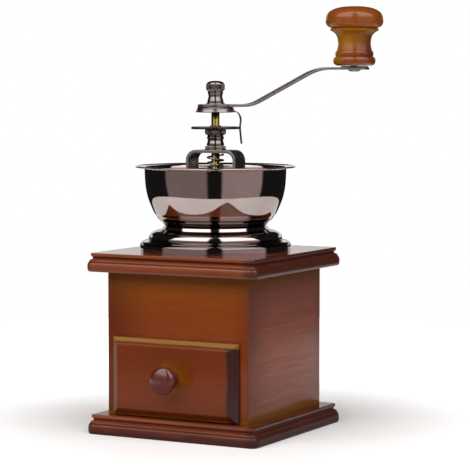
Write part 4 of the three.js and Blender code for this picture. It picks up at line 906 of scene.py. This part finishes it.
class GRINDER_OT_hopper(bpy.types.Operator):
    """Spin the stepped ring and the open bowl"""

    bl_idname = "grinder.hopper"
    bl_label = "Hopper"

    def execute(self, context):
        ring_sheet, bowl_sheet = 1.2, 0.55  # thickness in millimetres
        steps = rounded(
            [(49.6, 0), (49.6, 4.5), (48.5, 5.9), (44.6, 6.7), (43.8, 7.5), (43.8, 9.0),
             (42.8, 11.2), (40.2, 12.7), (37.2, 13.3), (34.95, 14.0), (34.0, 16.0)],
            [0, 0.9, 0.9, 0.8, 0.4, 1.2, 1.8, 1.6, 0.8, 0.3, 0], 6,
        )
        ring = lathe("spun_ring", walled(steps, ring_sheet), "ring_nickel",
                     (0, 0, base_of("stepped_ring")), closed=True)
        seat(ring, "case", "dark_chrome", "stepped_ring")

        bowl_low = base_of("bowl_floor")
        rim = (top_of("hopper_rim") - bowl_low) / MM
        foot = rounded([(15.5, 0), (28.3, 0), (32.4, 12.3)], [0, 1.2, 0])
        groove = context.scene.grinder_sizes.bowl_groove / MM
        groove_foot, groove_top, half_waves = 14.0, 20.5, 3
        beaded = []
        for radius, height in curved(
            [(34.0, 13.9), (36.1, 16.0), (38.1, 18.2), (40.2, 21.2), (42.8, 27.0), (44.6, 32.0),
             (45.7, 37.2), (46.3, 42.5), (46.55, 47.6)], 6,
        ):
            if height < groove_top:
                share = (height - groove_foot) / (groove_top - groove_foot)
                radius -= groove * max(0.0, math.sin(share * half_waves * math.pi))
            beaded.append((radius, height))
        lip = rounded(
            [(46.6, rim - 1.9), (47.1, rim - 1.4), (50.4, rim - 1.1), (51.2, rim - 0.85)],
            [0, 0.5, 0.6, 0],
        )
        roll, widest = 0.6, 52.5
        rolled_edge = []
        for step in range(-5, 6):
            angle = step / 12 * TURN
            rolled_edge.append(
                (widest - roll + roll * math.cos(angle), rim - roll + roll * math.sin(angle))
            )
        sheet = foot + beaded + lip
        wall = walled(sheet, bowl_sheet)
        outline = wall[:len(sheet)] + rolled_edge + wall[len(sheet):]
        bowl = lathe("spun_bowl", outline, "bowl_nickel", (0, 0, bowl_low), closed=True)
        seat(bowl, "case", "dark_chrome", "hopper_bowl", "bowl_floor", "hopper_rim")
        return {"FINISHED"}


class GRINDER_OT_bridge(bpy.types.Operator):
    """Finish the bent bridge and the lower strap with their bushes"""

    bl_idname = "grinder.bridge"
    bl_label = "Bridge and Strap"

    def execute(self, context):
        width = context.scene.grinder_sizes.sheet_round
        for node, name, finish in (
            ("bridge_bracket", "bent_bridge", "steel"),
            ("lower_strap", "bent_strap", "steel"),
            ("bridge_bush", "upper_bearing", "brass"),
            ("lower_bush", "lower_bearing", "brass"),
        ):
            refined(node, name, finish, "case", finish, width)
        return {"FINISHED"}


class GRINDER_OT_burrs(bpy.types.Operator):
    """Give the cut burrs their cast skin"""

    bl_idname = "grinder.burrs"
    bl_label = "Burrs"

    def execute(self, context):
        for node, name, body in (
            ("burr_housing", "outer_burr", "case"),
            ("inner_burr", "inner_cone", "crankshaft"),
        ):
            refined(node, name, "iron", body, "cast_iron", mm(0.08), segments=1)
        return {"FINISHED"}


class GRINDER_OT_shaft(bpy.types.Operator):
    """Finish the shaft, its washers and the nut under the burr"""

    bl_idname = "grinder.shaft"
    bl_label = "Shaft"

    def execute(self, context):
        width = context.scene.grinder_sizes.sheet_round * 0.5
        for node, name, finish, body in (
            ("shaft", "turned_shaft", "brass", "crankshaft"),
            ("burr_washer", "under_washer", "steel", "crankshaft"),
            ("burr_nut", "hexagon_nut", "steel", "crankshaft"),
            ("spring_washer", "shoulder_washer", "steel", "crankshaft"),
            ("thrust_washer", "bearing_washer", "steel", "rotor"),
            ("crank_washer", "top_washer", "steel", "crankshaft"),
        ):
            refined(node, name, finish, body, finish, width, segments=2)
        return {"FINISHED"}


def spring_tree():
    """Coil that climbs from its base: turns, height, radius and wire are named inputs."""
    wires, start, end = node_group(
        "Coil Spring", "GeometryNodeTree",
        {"Geometry": "Geometry", "Turns": "Float", "Height": "Float", "Radius": "Float",
         "Wire": "Float", "Base": "Float", "Material": "Material"},
        {"Geometry": "Geometry"},
    )
    spiral = wires.add("GeometryNodeCurveSpiral", {
        "Resolution": 40, "Rotations": start["Turns"], "Height": start["Height"],
        "Start Radius": start["Radius"], "End Radius": start["Radius"],
    })[0]
    circle = wires.add("GeometryNodeCurvePrimitiveCircle", {
        "Resolution": 12, "Radius": start["Wire"],
    })[0]
    tube = wires.add("GeometryNodeCurveToMesh", {
        "Curve": spiral, "Profile Curve": circle, "Fill Caps": True,
    })[0]
    place = wires.add("ShaderNodeCombineXYZ", {"Z": start["Base"]})[0]
    raised = wires.add("GeometryNodeTransform", {"Geometry": tube, "Translation": place})[0]
    smooth = wires.add("GeometryNodeSetShadeSmooth", {0: raised})[0]
    wires.set(end, {"Geometry": finished(wires, start, smooth)})
    return wires.tree


def screw_tree():
    """One screw on every point, all tilted alike."""
    wires, start, end = node_group(
        "Screw Set", "GeometryNodeTree",
        {"Geometry": "Geometry", "Screw": "Object", "Tilt": "Vector", "Material": "Material"},
        {"Geometry": "Geometry"},
    )
    points = wires.add("GeometryNodeMeshToPoints", {"Mesh": start["Geometry"]})[0]
    screw = wires.add("GeometryNodeObjectInfo", {"Object": start["Screw"]})["Geometry"]
    copies = wires.add("GeometryNodeInstanceOnPoints", {
        "Points": points, "Instance": screw, "Rotation": start["Tilt"],
    })[0]
    wires.set(end, {"Geometry": finished(wires, start, copies)})
    return wires.tree


def finished(wires, start, shape):
    """The end of both trees: instances made real, in the material that goes in."""
    real = wires.add("GeometryNodeRealizeInstances", {0: shape})[0]
    return wires.add(
        "GeometryNodeSetMaterial", {"Geometry": real, "Material": start["Material"]}
    )[0]


def run_tree(piece, tree, values):
    """Sets a tree's named inputs by their identifiers, then keeps the plain mesh it makes."""
    modifier = piece.modifiers.new(tree.name, "NODES")
    modifier.node_group = tree
    for item in tree.interface.items_tree:
        if item.item_type == "SOCKET" and item.in_out == "INPUT" and item.name in values:
            modifier[item.identifier] = values[item.name]
    return baked(piece)


class GRINDER_OT_spring(bpy.types.Operator):
    """Wind the spring on the shaft"""

    bl_idname = "grinder.spring"
    bl_label = "Spring"

    def execute(self, context):
        sizes = context.scene.grinder_sizes
        low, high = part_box("shaft_spring")
        wire = sizes.spring_wire
        spring = new_object("wound_spring", bpy.data.meshes.new("wound_spring"))
        run_tree(spring, spring_tree(), {
            "Turns": float(sizes.spring_turns),
            "Height": high.z - low.z - 2 * wire,
            "Radius": mm(5.2),
            "Wire": wire,
            "Base": low.z + wire,
            "Material": MATERIALS["steel"],
        })
        seat(spring, "rotor", "steel", "shaft_spring")
        return {"FINISHED"}


def slotted_screw(name, shank, length, head, rise, sunk=False):
    """A slotted screw standing with its head's seat at zero, in millimetres."""
    if sunk:
        outline = [(0, 0), (head, 0), (shank, -rise), (shank, shank - length), (0, -length)]
    else:
        outline = rounded(
            [(0, rise), (head * 0.62, rise * 0.97), (head, rise * 0.42), (head, 0), (shank, 0),
             (shank, shank - length), (0, -length)],
            [0, 0.7, 0.45, 0.08, 0, 0, 0], 4,
        )
    screw = lathe(name, outline, "steel")
    slot_width, slot_depth, cutter_height = 0.55, 0.6, 1.6
    top = 0.0 if sunk else rise
    bm = bmesh.new()
    bmesh.ops.create_cube(bm, size=1.0)
    bmesh.ops.scale(bm, vec=mm(2.4 * head, slot_width, cutter_height), verts=bm.verts)
    bmesh.ops.translate(
        bm, vec=(0, 0, mm(top + cutter_height / 2 - slot_depth)), verts=bm.verts
    )
    cutter = from_bmesh("slot_cutter", bm)
    cut = screw.modifiers.new("Slot", "BOOLEAN")
    cut.object = cutter
    cut.operation = "DIFFERENCE"
    baked(screw)
    screw.data.set_sharp_from_angle(angle=math.radians(TURNED_SHARP))
    bpy.data.objects.remove(cutter)
    return screw


class GRINDER_OT_screws(bpy.types.Operator):
    """Set every screw of the case and the drawer"""

    bl_idname = "grinder.screws"
    bl_label = "Screws"

    def execute(self, context):
        tree = screw_tree()
        wood = {"shank": 1.7, "length": 24, "head": 3.4, "rise": 2.0, "sunk": True}
        housing = {"shank": 1.6, "length": 9, "head": 2.7, "rise": 1.7}
        small = {"shank": 1.5, "length": 8.5, "head": 2.7, "rise": 1.6}
        pull = {"shank": 1.8, "length": 13, "head": 3.6, "rise": 1.6}
        tilts = {"up": (0, 0, 0.35), "down": (TURN / 2, 0, 0.9), "back": (-QUARTER, 0, 0)}
        for name, body, stem, count, kind, facing in (
            ("base_wood_screws", "case", "base_screw", 4, wood, "down"),
            ("top_wood_screws", "case", "top_screw", 4, wood, "up"),
            ("housing_screw_set", "case", "housing_screw", 4, housing, "up"),
            ("bridge_screw_set", "case", "bridge_screw", 2, small, "up"),
            ("bowl_screw_set", "case", "bowl_screw", 2, small, "up"),
            ("strap_screw_set", "case", "strap_screw", 2, small, "down"),
            ("pull_screw", "drawer", "drawer_pull_screw", 0, pull, "back"),
        ):
            nodes = [f"{stem}_{i + 1}" for i in range(count)] or [stem]
            rise = 0 if "sunk" in kind else mm(kind["rise"])
            places = []
            for node in nodes:
                low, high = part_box(node)
                x, y, z = middle(node)
                places.append({
                    "up": (x, y, high.z - rise),
                    "down": (x, y, low.z + rise),
                    "back": (x, high.y - rise, z),
                }[facing])
            template = slotted_screw(f"{name}_template", **kind)
            mesh = bpy.data.meshes.new(name)
            mesh.from_pydata(places, [], [])
            piece = new_object(name, mesh)
            run_tree(piece, tree, {
                "Screw": template, "Tilt": tilts[facing], "Material": MATERIALS["steel"],
            })
            bpy.data.objects.remove(template)
            seat(piece, body, "steel", *nodes)
        return {"FINISHED"}


class GRINDER_OT_adjuster(bpy.types.Operator):
    """Turn the knurled adjusting nut and soften the notched disc"""

    bl_idname = "grinder.adjuster"
    bl_label = "Adjusting Nut"

    def execute(self, context):
        outline = rounded(
            [(3.05, 0), (5.7, 0), (5.7, 1.5), (4.95, 3.9), (5.85, 5.4), (5.0, 6.9), (6.2, 7.2),
             (7.0, 8.3), (7.0, 10.2), (6.6, 11.0), (4.2, 11.0), (4.2, 12.6), (3.6, 13.3),
             (3.05, 13.3)],
            [0, 0.3, 0.6, 1.3, 1.3, 0.6, 0.5, 0.8, 0.6, 0.4, 0.1, 0.3, 0.3, 0.1],
        )
        nut = lathe("knurled_nut", outline, "hub_nickel", (0, 0, base_of("adjusting_nut")),
                    closed=True, knurl=(7.9, 10.6))
        seat(nut, "adjuster", "dark_chrome", "adjusting_nut")
        width = context.scene.grinder_sizes.sheet_round * 0.6
        refined("notched_disc", "locking_disc", "disc_nickel", "adjuster", "dark_chrome", width)
        return {"FINISHED"}


class GRINDER_OT_crank(bpy.types.Operator):
    """Finish the locking plate, the bent arm and the cap nut"""

    bl_idname = "grinder.crank"
    bl_label = "Crank"

    def execute(self, context):
        width = context.scene.grinder_sizes.sheet_round * 0.8
        for node, name, finish in (
            ("locking_plate", "dished_plate", "plate_nickel"),
            ("crank_arm", "bent_arm", "arm_steel"),
        ):
            refined(node, name, finish, "crankshaft", "dark_chrome", width)
        outline = rounded(
            [(0, 9), (2.2, 9), (2.2, 0), (5.4, 0), (5.4, 1.3), (4.4, 4.9), (5.15, 6.9),
             (4.95, 8.05), (5.6, 8.2), (6.15, 9.2), (6.15, 12.3), (5.5, 13.5), (3.4, 14.5),
             (0, 14.8)],
            [0, 0.1, 0.1, 0.4, 0.9, 1.4, 1.1, 0.4, 0.5, 0.9, 1.0, 1.0, 1.6, 0],
        )
        cap = lathe("knurled_cap", outline, "hub_nickel", (0, 0, base_of("cap_nut")),
                    knurl=(9.0, 12.6))
        seat(cap, "crankshaft", "dark_chrome", "cap_nut")
        return {"FINISHED"}


class GRINDER_OT_knob(bpy.types.Operator):
    """Turn the crank knob and finish its spindle and bush"""

    bl_idname = "grinder.knob"
    bl_label = "Crank Knob"

    def execute(self, context):
        low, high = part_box("crank_knob")
        centre = middle("crank_knob")
        height = (high.z - low.z) / MM
        foot = rounded(
            [(11.7, 0), (13.5, 1.0), (14.1, 3.0), (14.05, 4.4), (13.2, 5.7), (12.1, 5.95),
             (12.5, 6.5), (12.75, 7.7), (12.6, 8.9), (12.2, 9.6), (11.75, 9.9)],
            [0, 0.9, 0.8, 0.8, 0.5, 0.15, 0.4, 0.8, 0.6, 0.3, 0], 4,
        )
        neck = curved(
            [(11.75, 9.9), (11.2, 12.6), (10.87, 15.2), (11.15, 17.7), (11.9, 19.9),
             (13.2, 21.5), (14.9, 22.7)], 5,
        )
        lip = rounded(
            [(14.9, 22.7), (16.1, 23.3), (16.1, 24.3), (15.2, 24.7), (15.6, 25.1), (17.3, 25.6),
             (18.7, 27.2), (19.12, 28.9)],
            [0, 0.5, 0.4, 0.25, 0.3, 1.0, 1.2, 0],
        )
        head_radius, head_level, fullness = 19.12, 30.1, 0.8
        head = []
        for angle in quarter(24):
            rise = (height - head_level) * math.sin(angle) ** fullness
            head.append((head_radius * math.cos(angle) ** fullness, head_level + rise))
        head[-1] = (0, height)
        blind_hole = [(0, 25.3), (4.3, 25.3), (4.3, 0)]
        outline = [*blind_hole, *foot, *neck[1:], *lip[1:], *head]
        knob = lathe("turned_knob", outline, "knob", (centre.x, centre.y, low.z))
        seat(knob, "knob", "knob_wood", "crank_knob")

        width = context.scene.grinder_sizes.sheet_round * 0.5
        refined("knob_spindle", "riveted_spindle", "steel", "crankshaft", "steel", width)
        refined("knob_bush", "knob_bearing", "brass", "knob", "brass", width)
        # The washer is a real part, made wide and given the dark disc nickel so that it also stands
        # in for the shadow between the knob and the arm: partly painted shade.
        washer_low, washer_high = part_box("knob_washer")
        bore, radius, thick = 2.6, 9.0, (washer_high.z - washer_low.z) / MM
        outline = rounded(
            [(bore, 0), (radius, 0), (radius, thick), (bore, thick)],
            [0, thick * 0.4, thick * 0.4, 0], 4,
        )
        place = (centre.x, centre.y, washer_low.z)
        washer = lathe("knob_ring", outline, "disc_nickel", place, closed=True)
        seat(washer, "crankshaft", "steel", "knob_washer")
        return {"FINISHED"}


# -------------------------------------------------------------------- stage

# The studio's bearings are in degrees from the camera's, its heights in sines.
LEFT_PANEL, RIGHT_PANEL, PANEL_SOFT = (-88, -14), (11, 82), 3
OVERHEAD = (0.12, 0.6)
BACK_WALL = (142, 152)
BACK_WALL_HEIGHT = (0.025, 0.2, 0.03)  # foot, head and softness
ROOM_DIM = 0.014
ROOM_TINT, PANEL_TINT = (1, 0.985, 0.975, 1), (1, 0.80, 0.82, 1)
# The floor and the lamp are in metres, the camera's fit in the frame's pixels.
FLOOR_RIM = (0.07, 0.285)  # where the floor begins to brighten, and where it is white
FLOOR_LIFT = 0.5
KEY_WIDTH, KEY_PLACE, KEY_AIM = 0.9, (0.1, -1.4, 0.95), (0, 0, 0.12)
FRAME_PIXELS, VIEW_X, VIEW_Y = 470, 215.51, 277.10


def studio_world(stage):
    """Two soft panels and a bright top in a dim room; the camera itself sees plain white."""
    world = bpy.data.worlds.new("Studio")
    bpy.context.scene.world = world
    world.use_nodes = True
    world.node_tree.nodes.clear()
    wires = Wiring(world.node_tree)
    turned = wires.add("ShaderNodeMapping", {
        "Vector": wires.add("ShaderNodeTexCoord")["Generated"],
        "Rotation": (0, 0, QUARTER - stage.azimuth),
    })[0]
    x, y, height = wires.add("ShaderNodeSeparateXYZ", {0: turned})
    bearing = wires.maths("ARCTAN2", y, x)

    def band(value, low, high, soft):
        return wires.times(
            wires.rise(value, low - soft, low + soft), wires.fall(value, high - soft, high + soft)
        )

    left, right = (
        band(bearing, low * DEGREE, high * DEGREE, PANEL_SOFT * DEGREE)
        for low, high in (LEFT_PANEL, RIGHT_PANEL)
    )
    sides = wires.plus(left, right)
    overhead = wires.rise(height, *OVERHEAD)
    below = wires.minus(1.0, overhead)
    feet = wires.times(
        wires.times(below, stage.panel_low), wires.plus(left, wires.times(right, stage.right_gain))
    )
    heads = wires.times(wires.times(sides, overhead), stage.panel_high)
    near, far = (edge * DEGREE for edge in BACK_WALL)
    wall = wires.plus(wires.rise(bearing, near, far), wires.fall(bearing, -far, -near))
    behind = wires.times(wall, band(height, *BACK_WALL_HEIGHT))
    level = wires.plus(wires.plus(feet, heads), ROOM_DIM)
    room = wires.add("ShaderNodeBackground", {
        "Color": wires.mix(wires.times(sides, below), ROOM_TINT, PANEL_TINT),
        "Strength": wires.plus(level, wires.times(behind, stage.backdrop)),
    })[0]
    white = wires.add("ShaderNodeBackground", {"Color": (1, 1, 1, 1), "Strength": 1.0})[0]
    seen = wires.add("ShaderNodeLightPath")["Is Camera Ray"]
    surface = wires.add("ShaderNodeMixShader", {0: seen, 1: room, 2: white})[0]
    wires.add("ShaderNodeOutputWorld", {"Surface": surface})


def pale_floor(stage):
    """A pale disc that brightens to white towards its rim."""
    bm = bmesh.new()
    bmesh.ops.create_circle(bm, cap_ends=True, segments=128, radius=stage.floor_radius)
    back = Matrix.Rotation(stage.azimuth, 3, "Z") @ Vector((0, stage.floor_back, 0))
    bmesh.ops.translate(bm, vec=back, verts=bm.verts)
    material, wires, shader, vector = new_material("Pale Floor")
    rim = wires.rise(wires.vector_maths("LENGTH", vector)["Value"], *FLOOR_RIM)
    seen = wires.add("ShaderNodeLightPath")["Is Camera Ray"]
    wires.set(shader, {
        "Base Color": (0.93, 0.93, 0.925, 1), "Roughness": 0.6,
        "Emission Color": (1, 1, 1, 1),
        "Emission Strength": wires.times(wires.times(rim, FLOOR_LIFT), seen),
    })
    floor = closed_off("pale_floor", bm, material)
    if floor.data.polygons[0].normal.z < 0:
        floor.data.flip_normals()


def aimed(name, data, place, direction):
    """A lamp or camera that looks in a direction."""
    thing = new_object(name, data)
    thing.location = place
    thing.rotation_euler = direction.to_track_quat("-Z", "Y").to_euler()
    return thing


def key_lamp(stage):
    """A soft lamp in front and above, which nothing mirrors."""
    data = bpy.data.lights.new("Key", "AREA")
    data.shape = "DISK"
    data.energy = stage.key_light
    data.size = KEY_WIDTH
    lamp = aimed("Key", data, KEY_PLACE, Vector(KEY_AIM) - Vector(KEY_PLACE))
    lamp.visible_glossy = False


def photo_camera(stage):
    """Camera turned so that the fitted centre of view falls where the frame's fit puts it."""
    turn, rise = stage.azimuth, stage.elevation
    away = Vector((
        math.sin(turn) * math.cos(rise), -math.cos(turn) * math.cos(rise), math.sin(rise)
    ))
    right = Vector((math.cos(turn), math.sin(turn), 0))
    up = right.cross(-away)
    look = (-away * stage.focal_pixels
            + right * (FRAME_PIXELS / 2 - VIEW_X)
            + up * (VIEW_Y - FRAME_PIXELS / 2))
    data = bpy.data.cameras.new("Camera")
    data.sensor_width = 36
    data.lens = stage.focal_pixels / FRAME_PIXELS * data.sensor_width
    data.clip_start, data.clip_end = 0.01, 20
    place = Vector((0, 0, stage.aim_height)) + away * stage.distance
    bpy.context.scene.camera = aimed("Camera", data, place, look)


class GRINDER_OT_stage(bpy.types.Operator):
    """Set the floor, the soft studio light and the camera"""

    bl_idname = "grinder.stage"
    bl_label = "Stage"

    def execute(self, context):
        context.scene.view_settings.view_transform = "Standard"
        for part in (studio_world, pale_floor, key_lamp, photo_camera):
            part(context.scene.grinder_stage)
        return {"FINISHED"}


PIECE_OPERATORS = (
    GRINDER_OT_case_boards,
    GRINDER_OT_case_panels,
    GRINDER_OT_drawer,
    GRINDER_OT_hopper,
    GRINDER_OT_bridge,
    GRINDER_OT_burrs,
    GRINDER_OT_shaft,
    GRINDER_OT_spring,
    GRINDER_OT_screws,
    GRINDER_OT_adjuster,
    GRINDER_OT_crank,
    GRINDER_OT_knob,
    GRINDER_OT_stage,
)


class GRINDER_PT_sidebar(bpy.types.Panel):
    """The grinder's pieces in the 3D view's sidebar"""

    bl_idname = "GRINDER_PT_sidebar"
    bl_label = "Coffee Grinder"
    bl_space_type = "VIEW_3D"
    bl_region_type = "UI"
    bl_category = "Grinder"

    def draw(self, context):
        for operator in PIECE_OPERATORS:
            self.layout.operator(operator.bl_idname)


GROUPS = {
    "grinder_sizes": GRINDER_PG_sizes,
    "grinder_finishes": GRINDER_PG_finishes,
    "grinder_stage": GRINDER_PG_stage,
}
CLASSES = (*GROUPS.values(), *PIECE_OPERATORS, GRINDER_PT_sidebar)


def register():
    for kind in CLASSES:
        bpy.utils.register_class(kind)
    for name, group in GROUPS.items():
        setattr(bpy.types.Scene, name, PointerProperty(type=group))


def unregister():
    for name in GROUPS:
        delattr(bpy.types.Scene, name)
    for kind in reversed(CLASSES):
        bpy.utils.unregister_class(kind)


def main():
    register()
    make_materials()
    for operator in PIECE_OPERATORS:
        name = operator.bl_idname.split(".")[1]
        getattr(bpy.ops.grinder, name)()


if __name__ == "__main__":
    main()
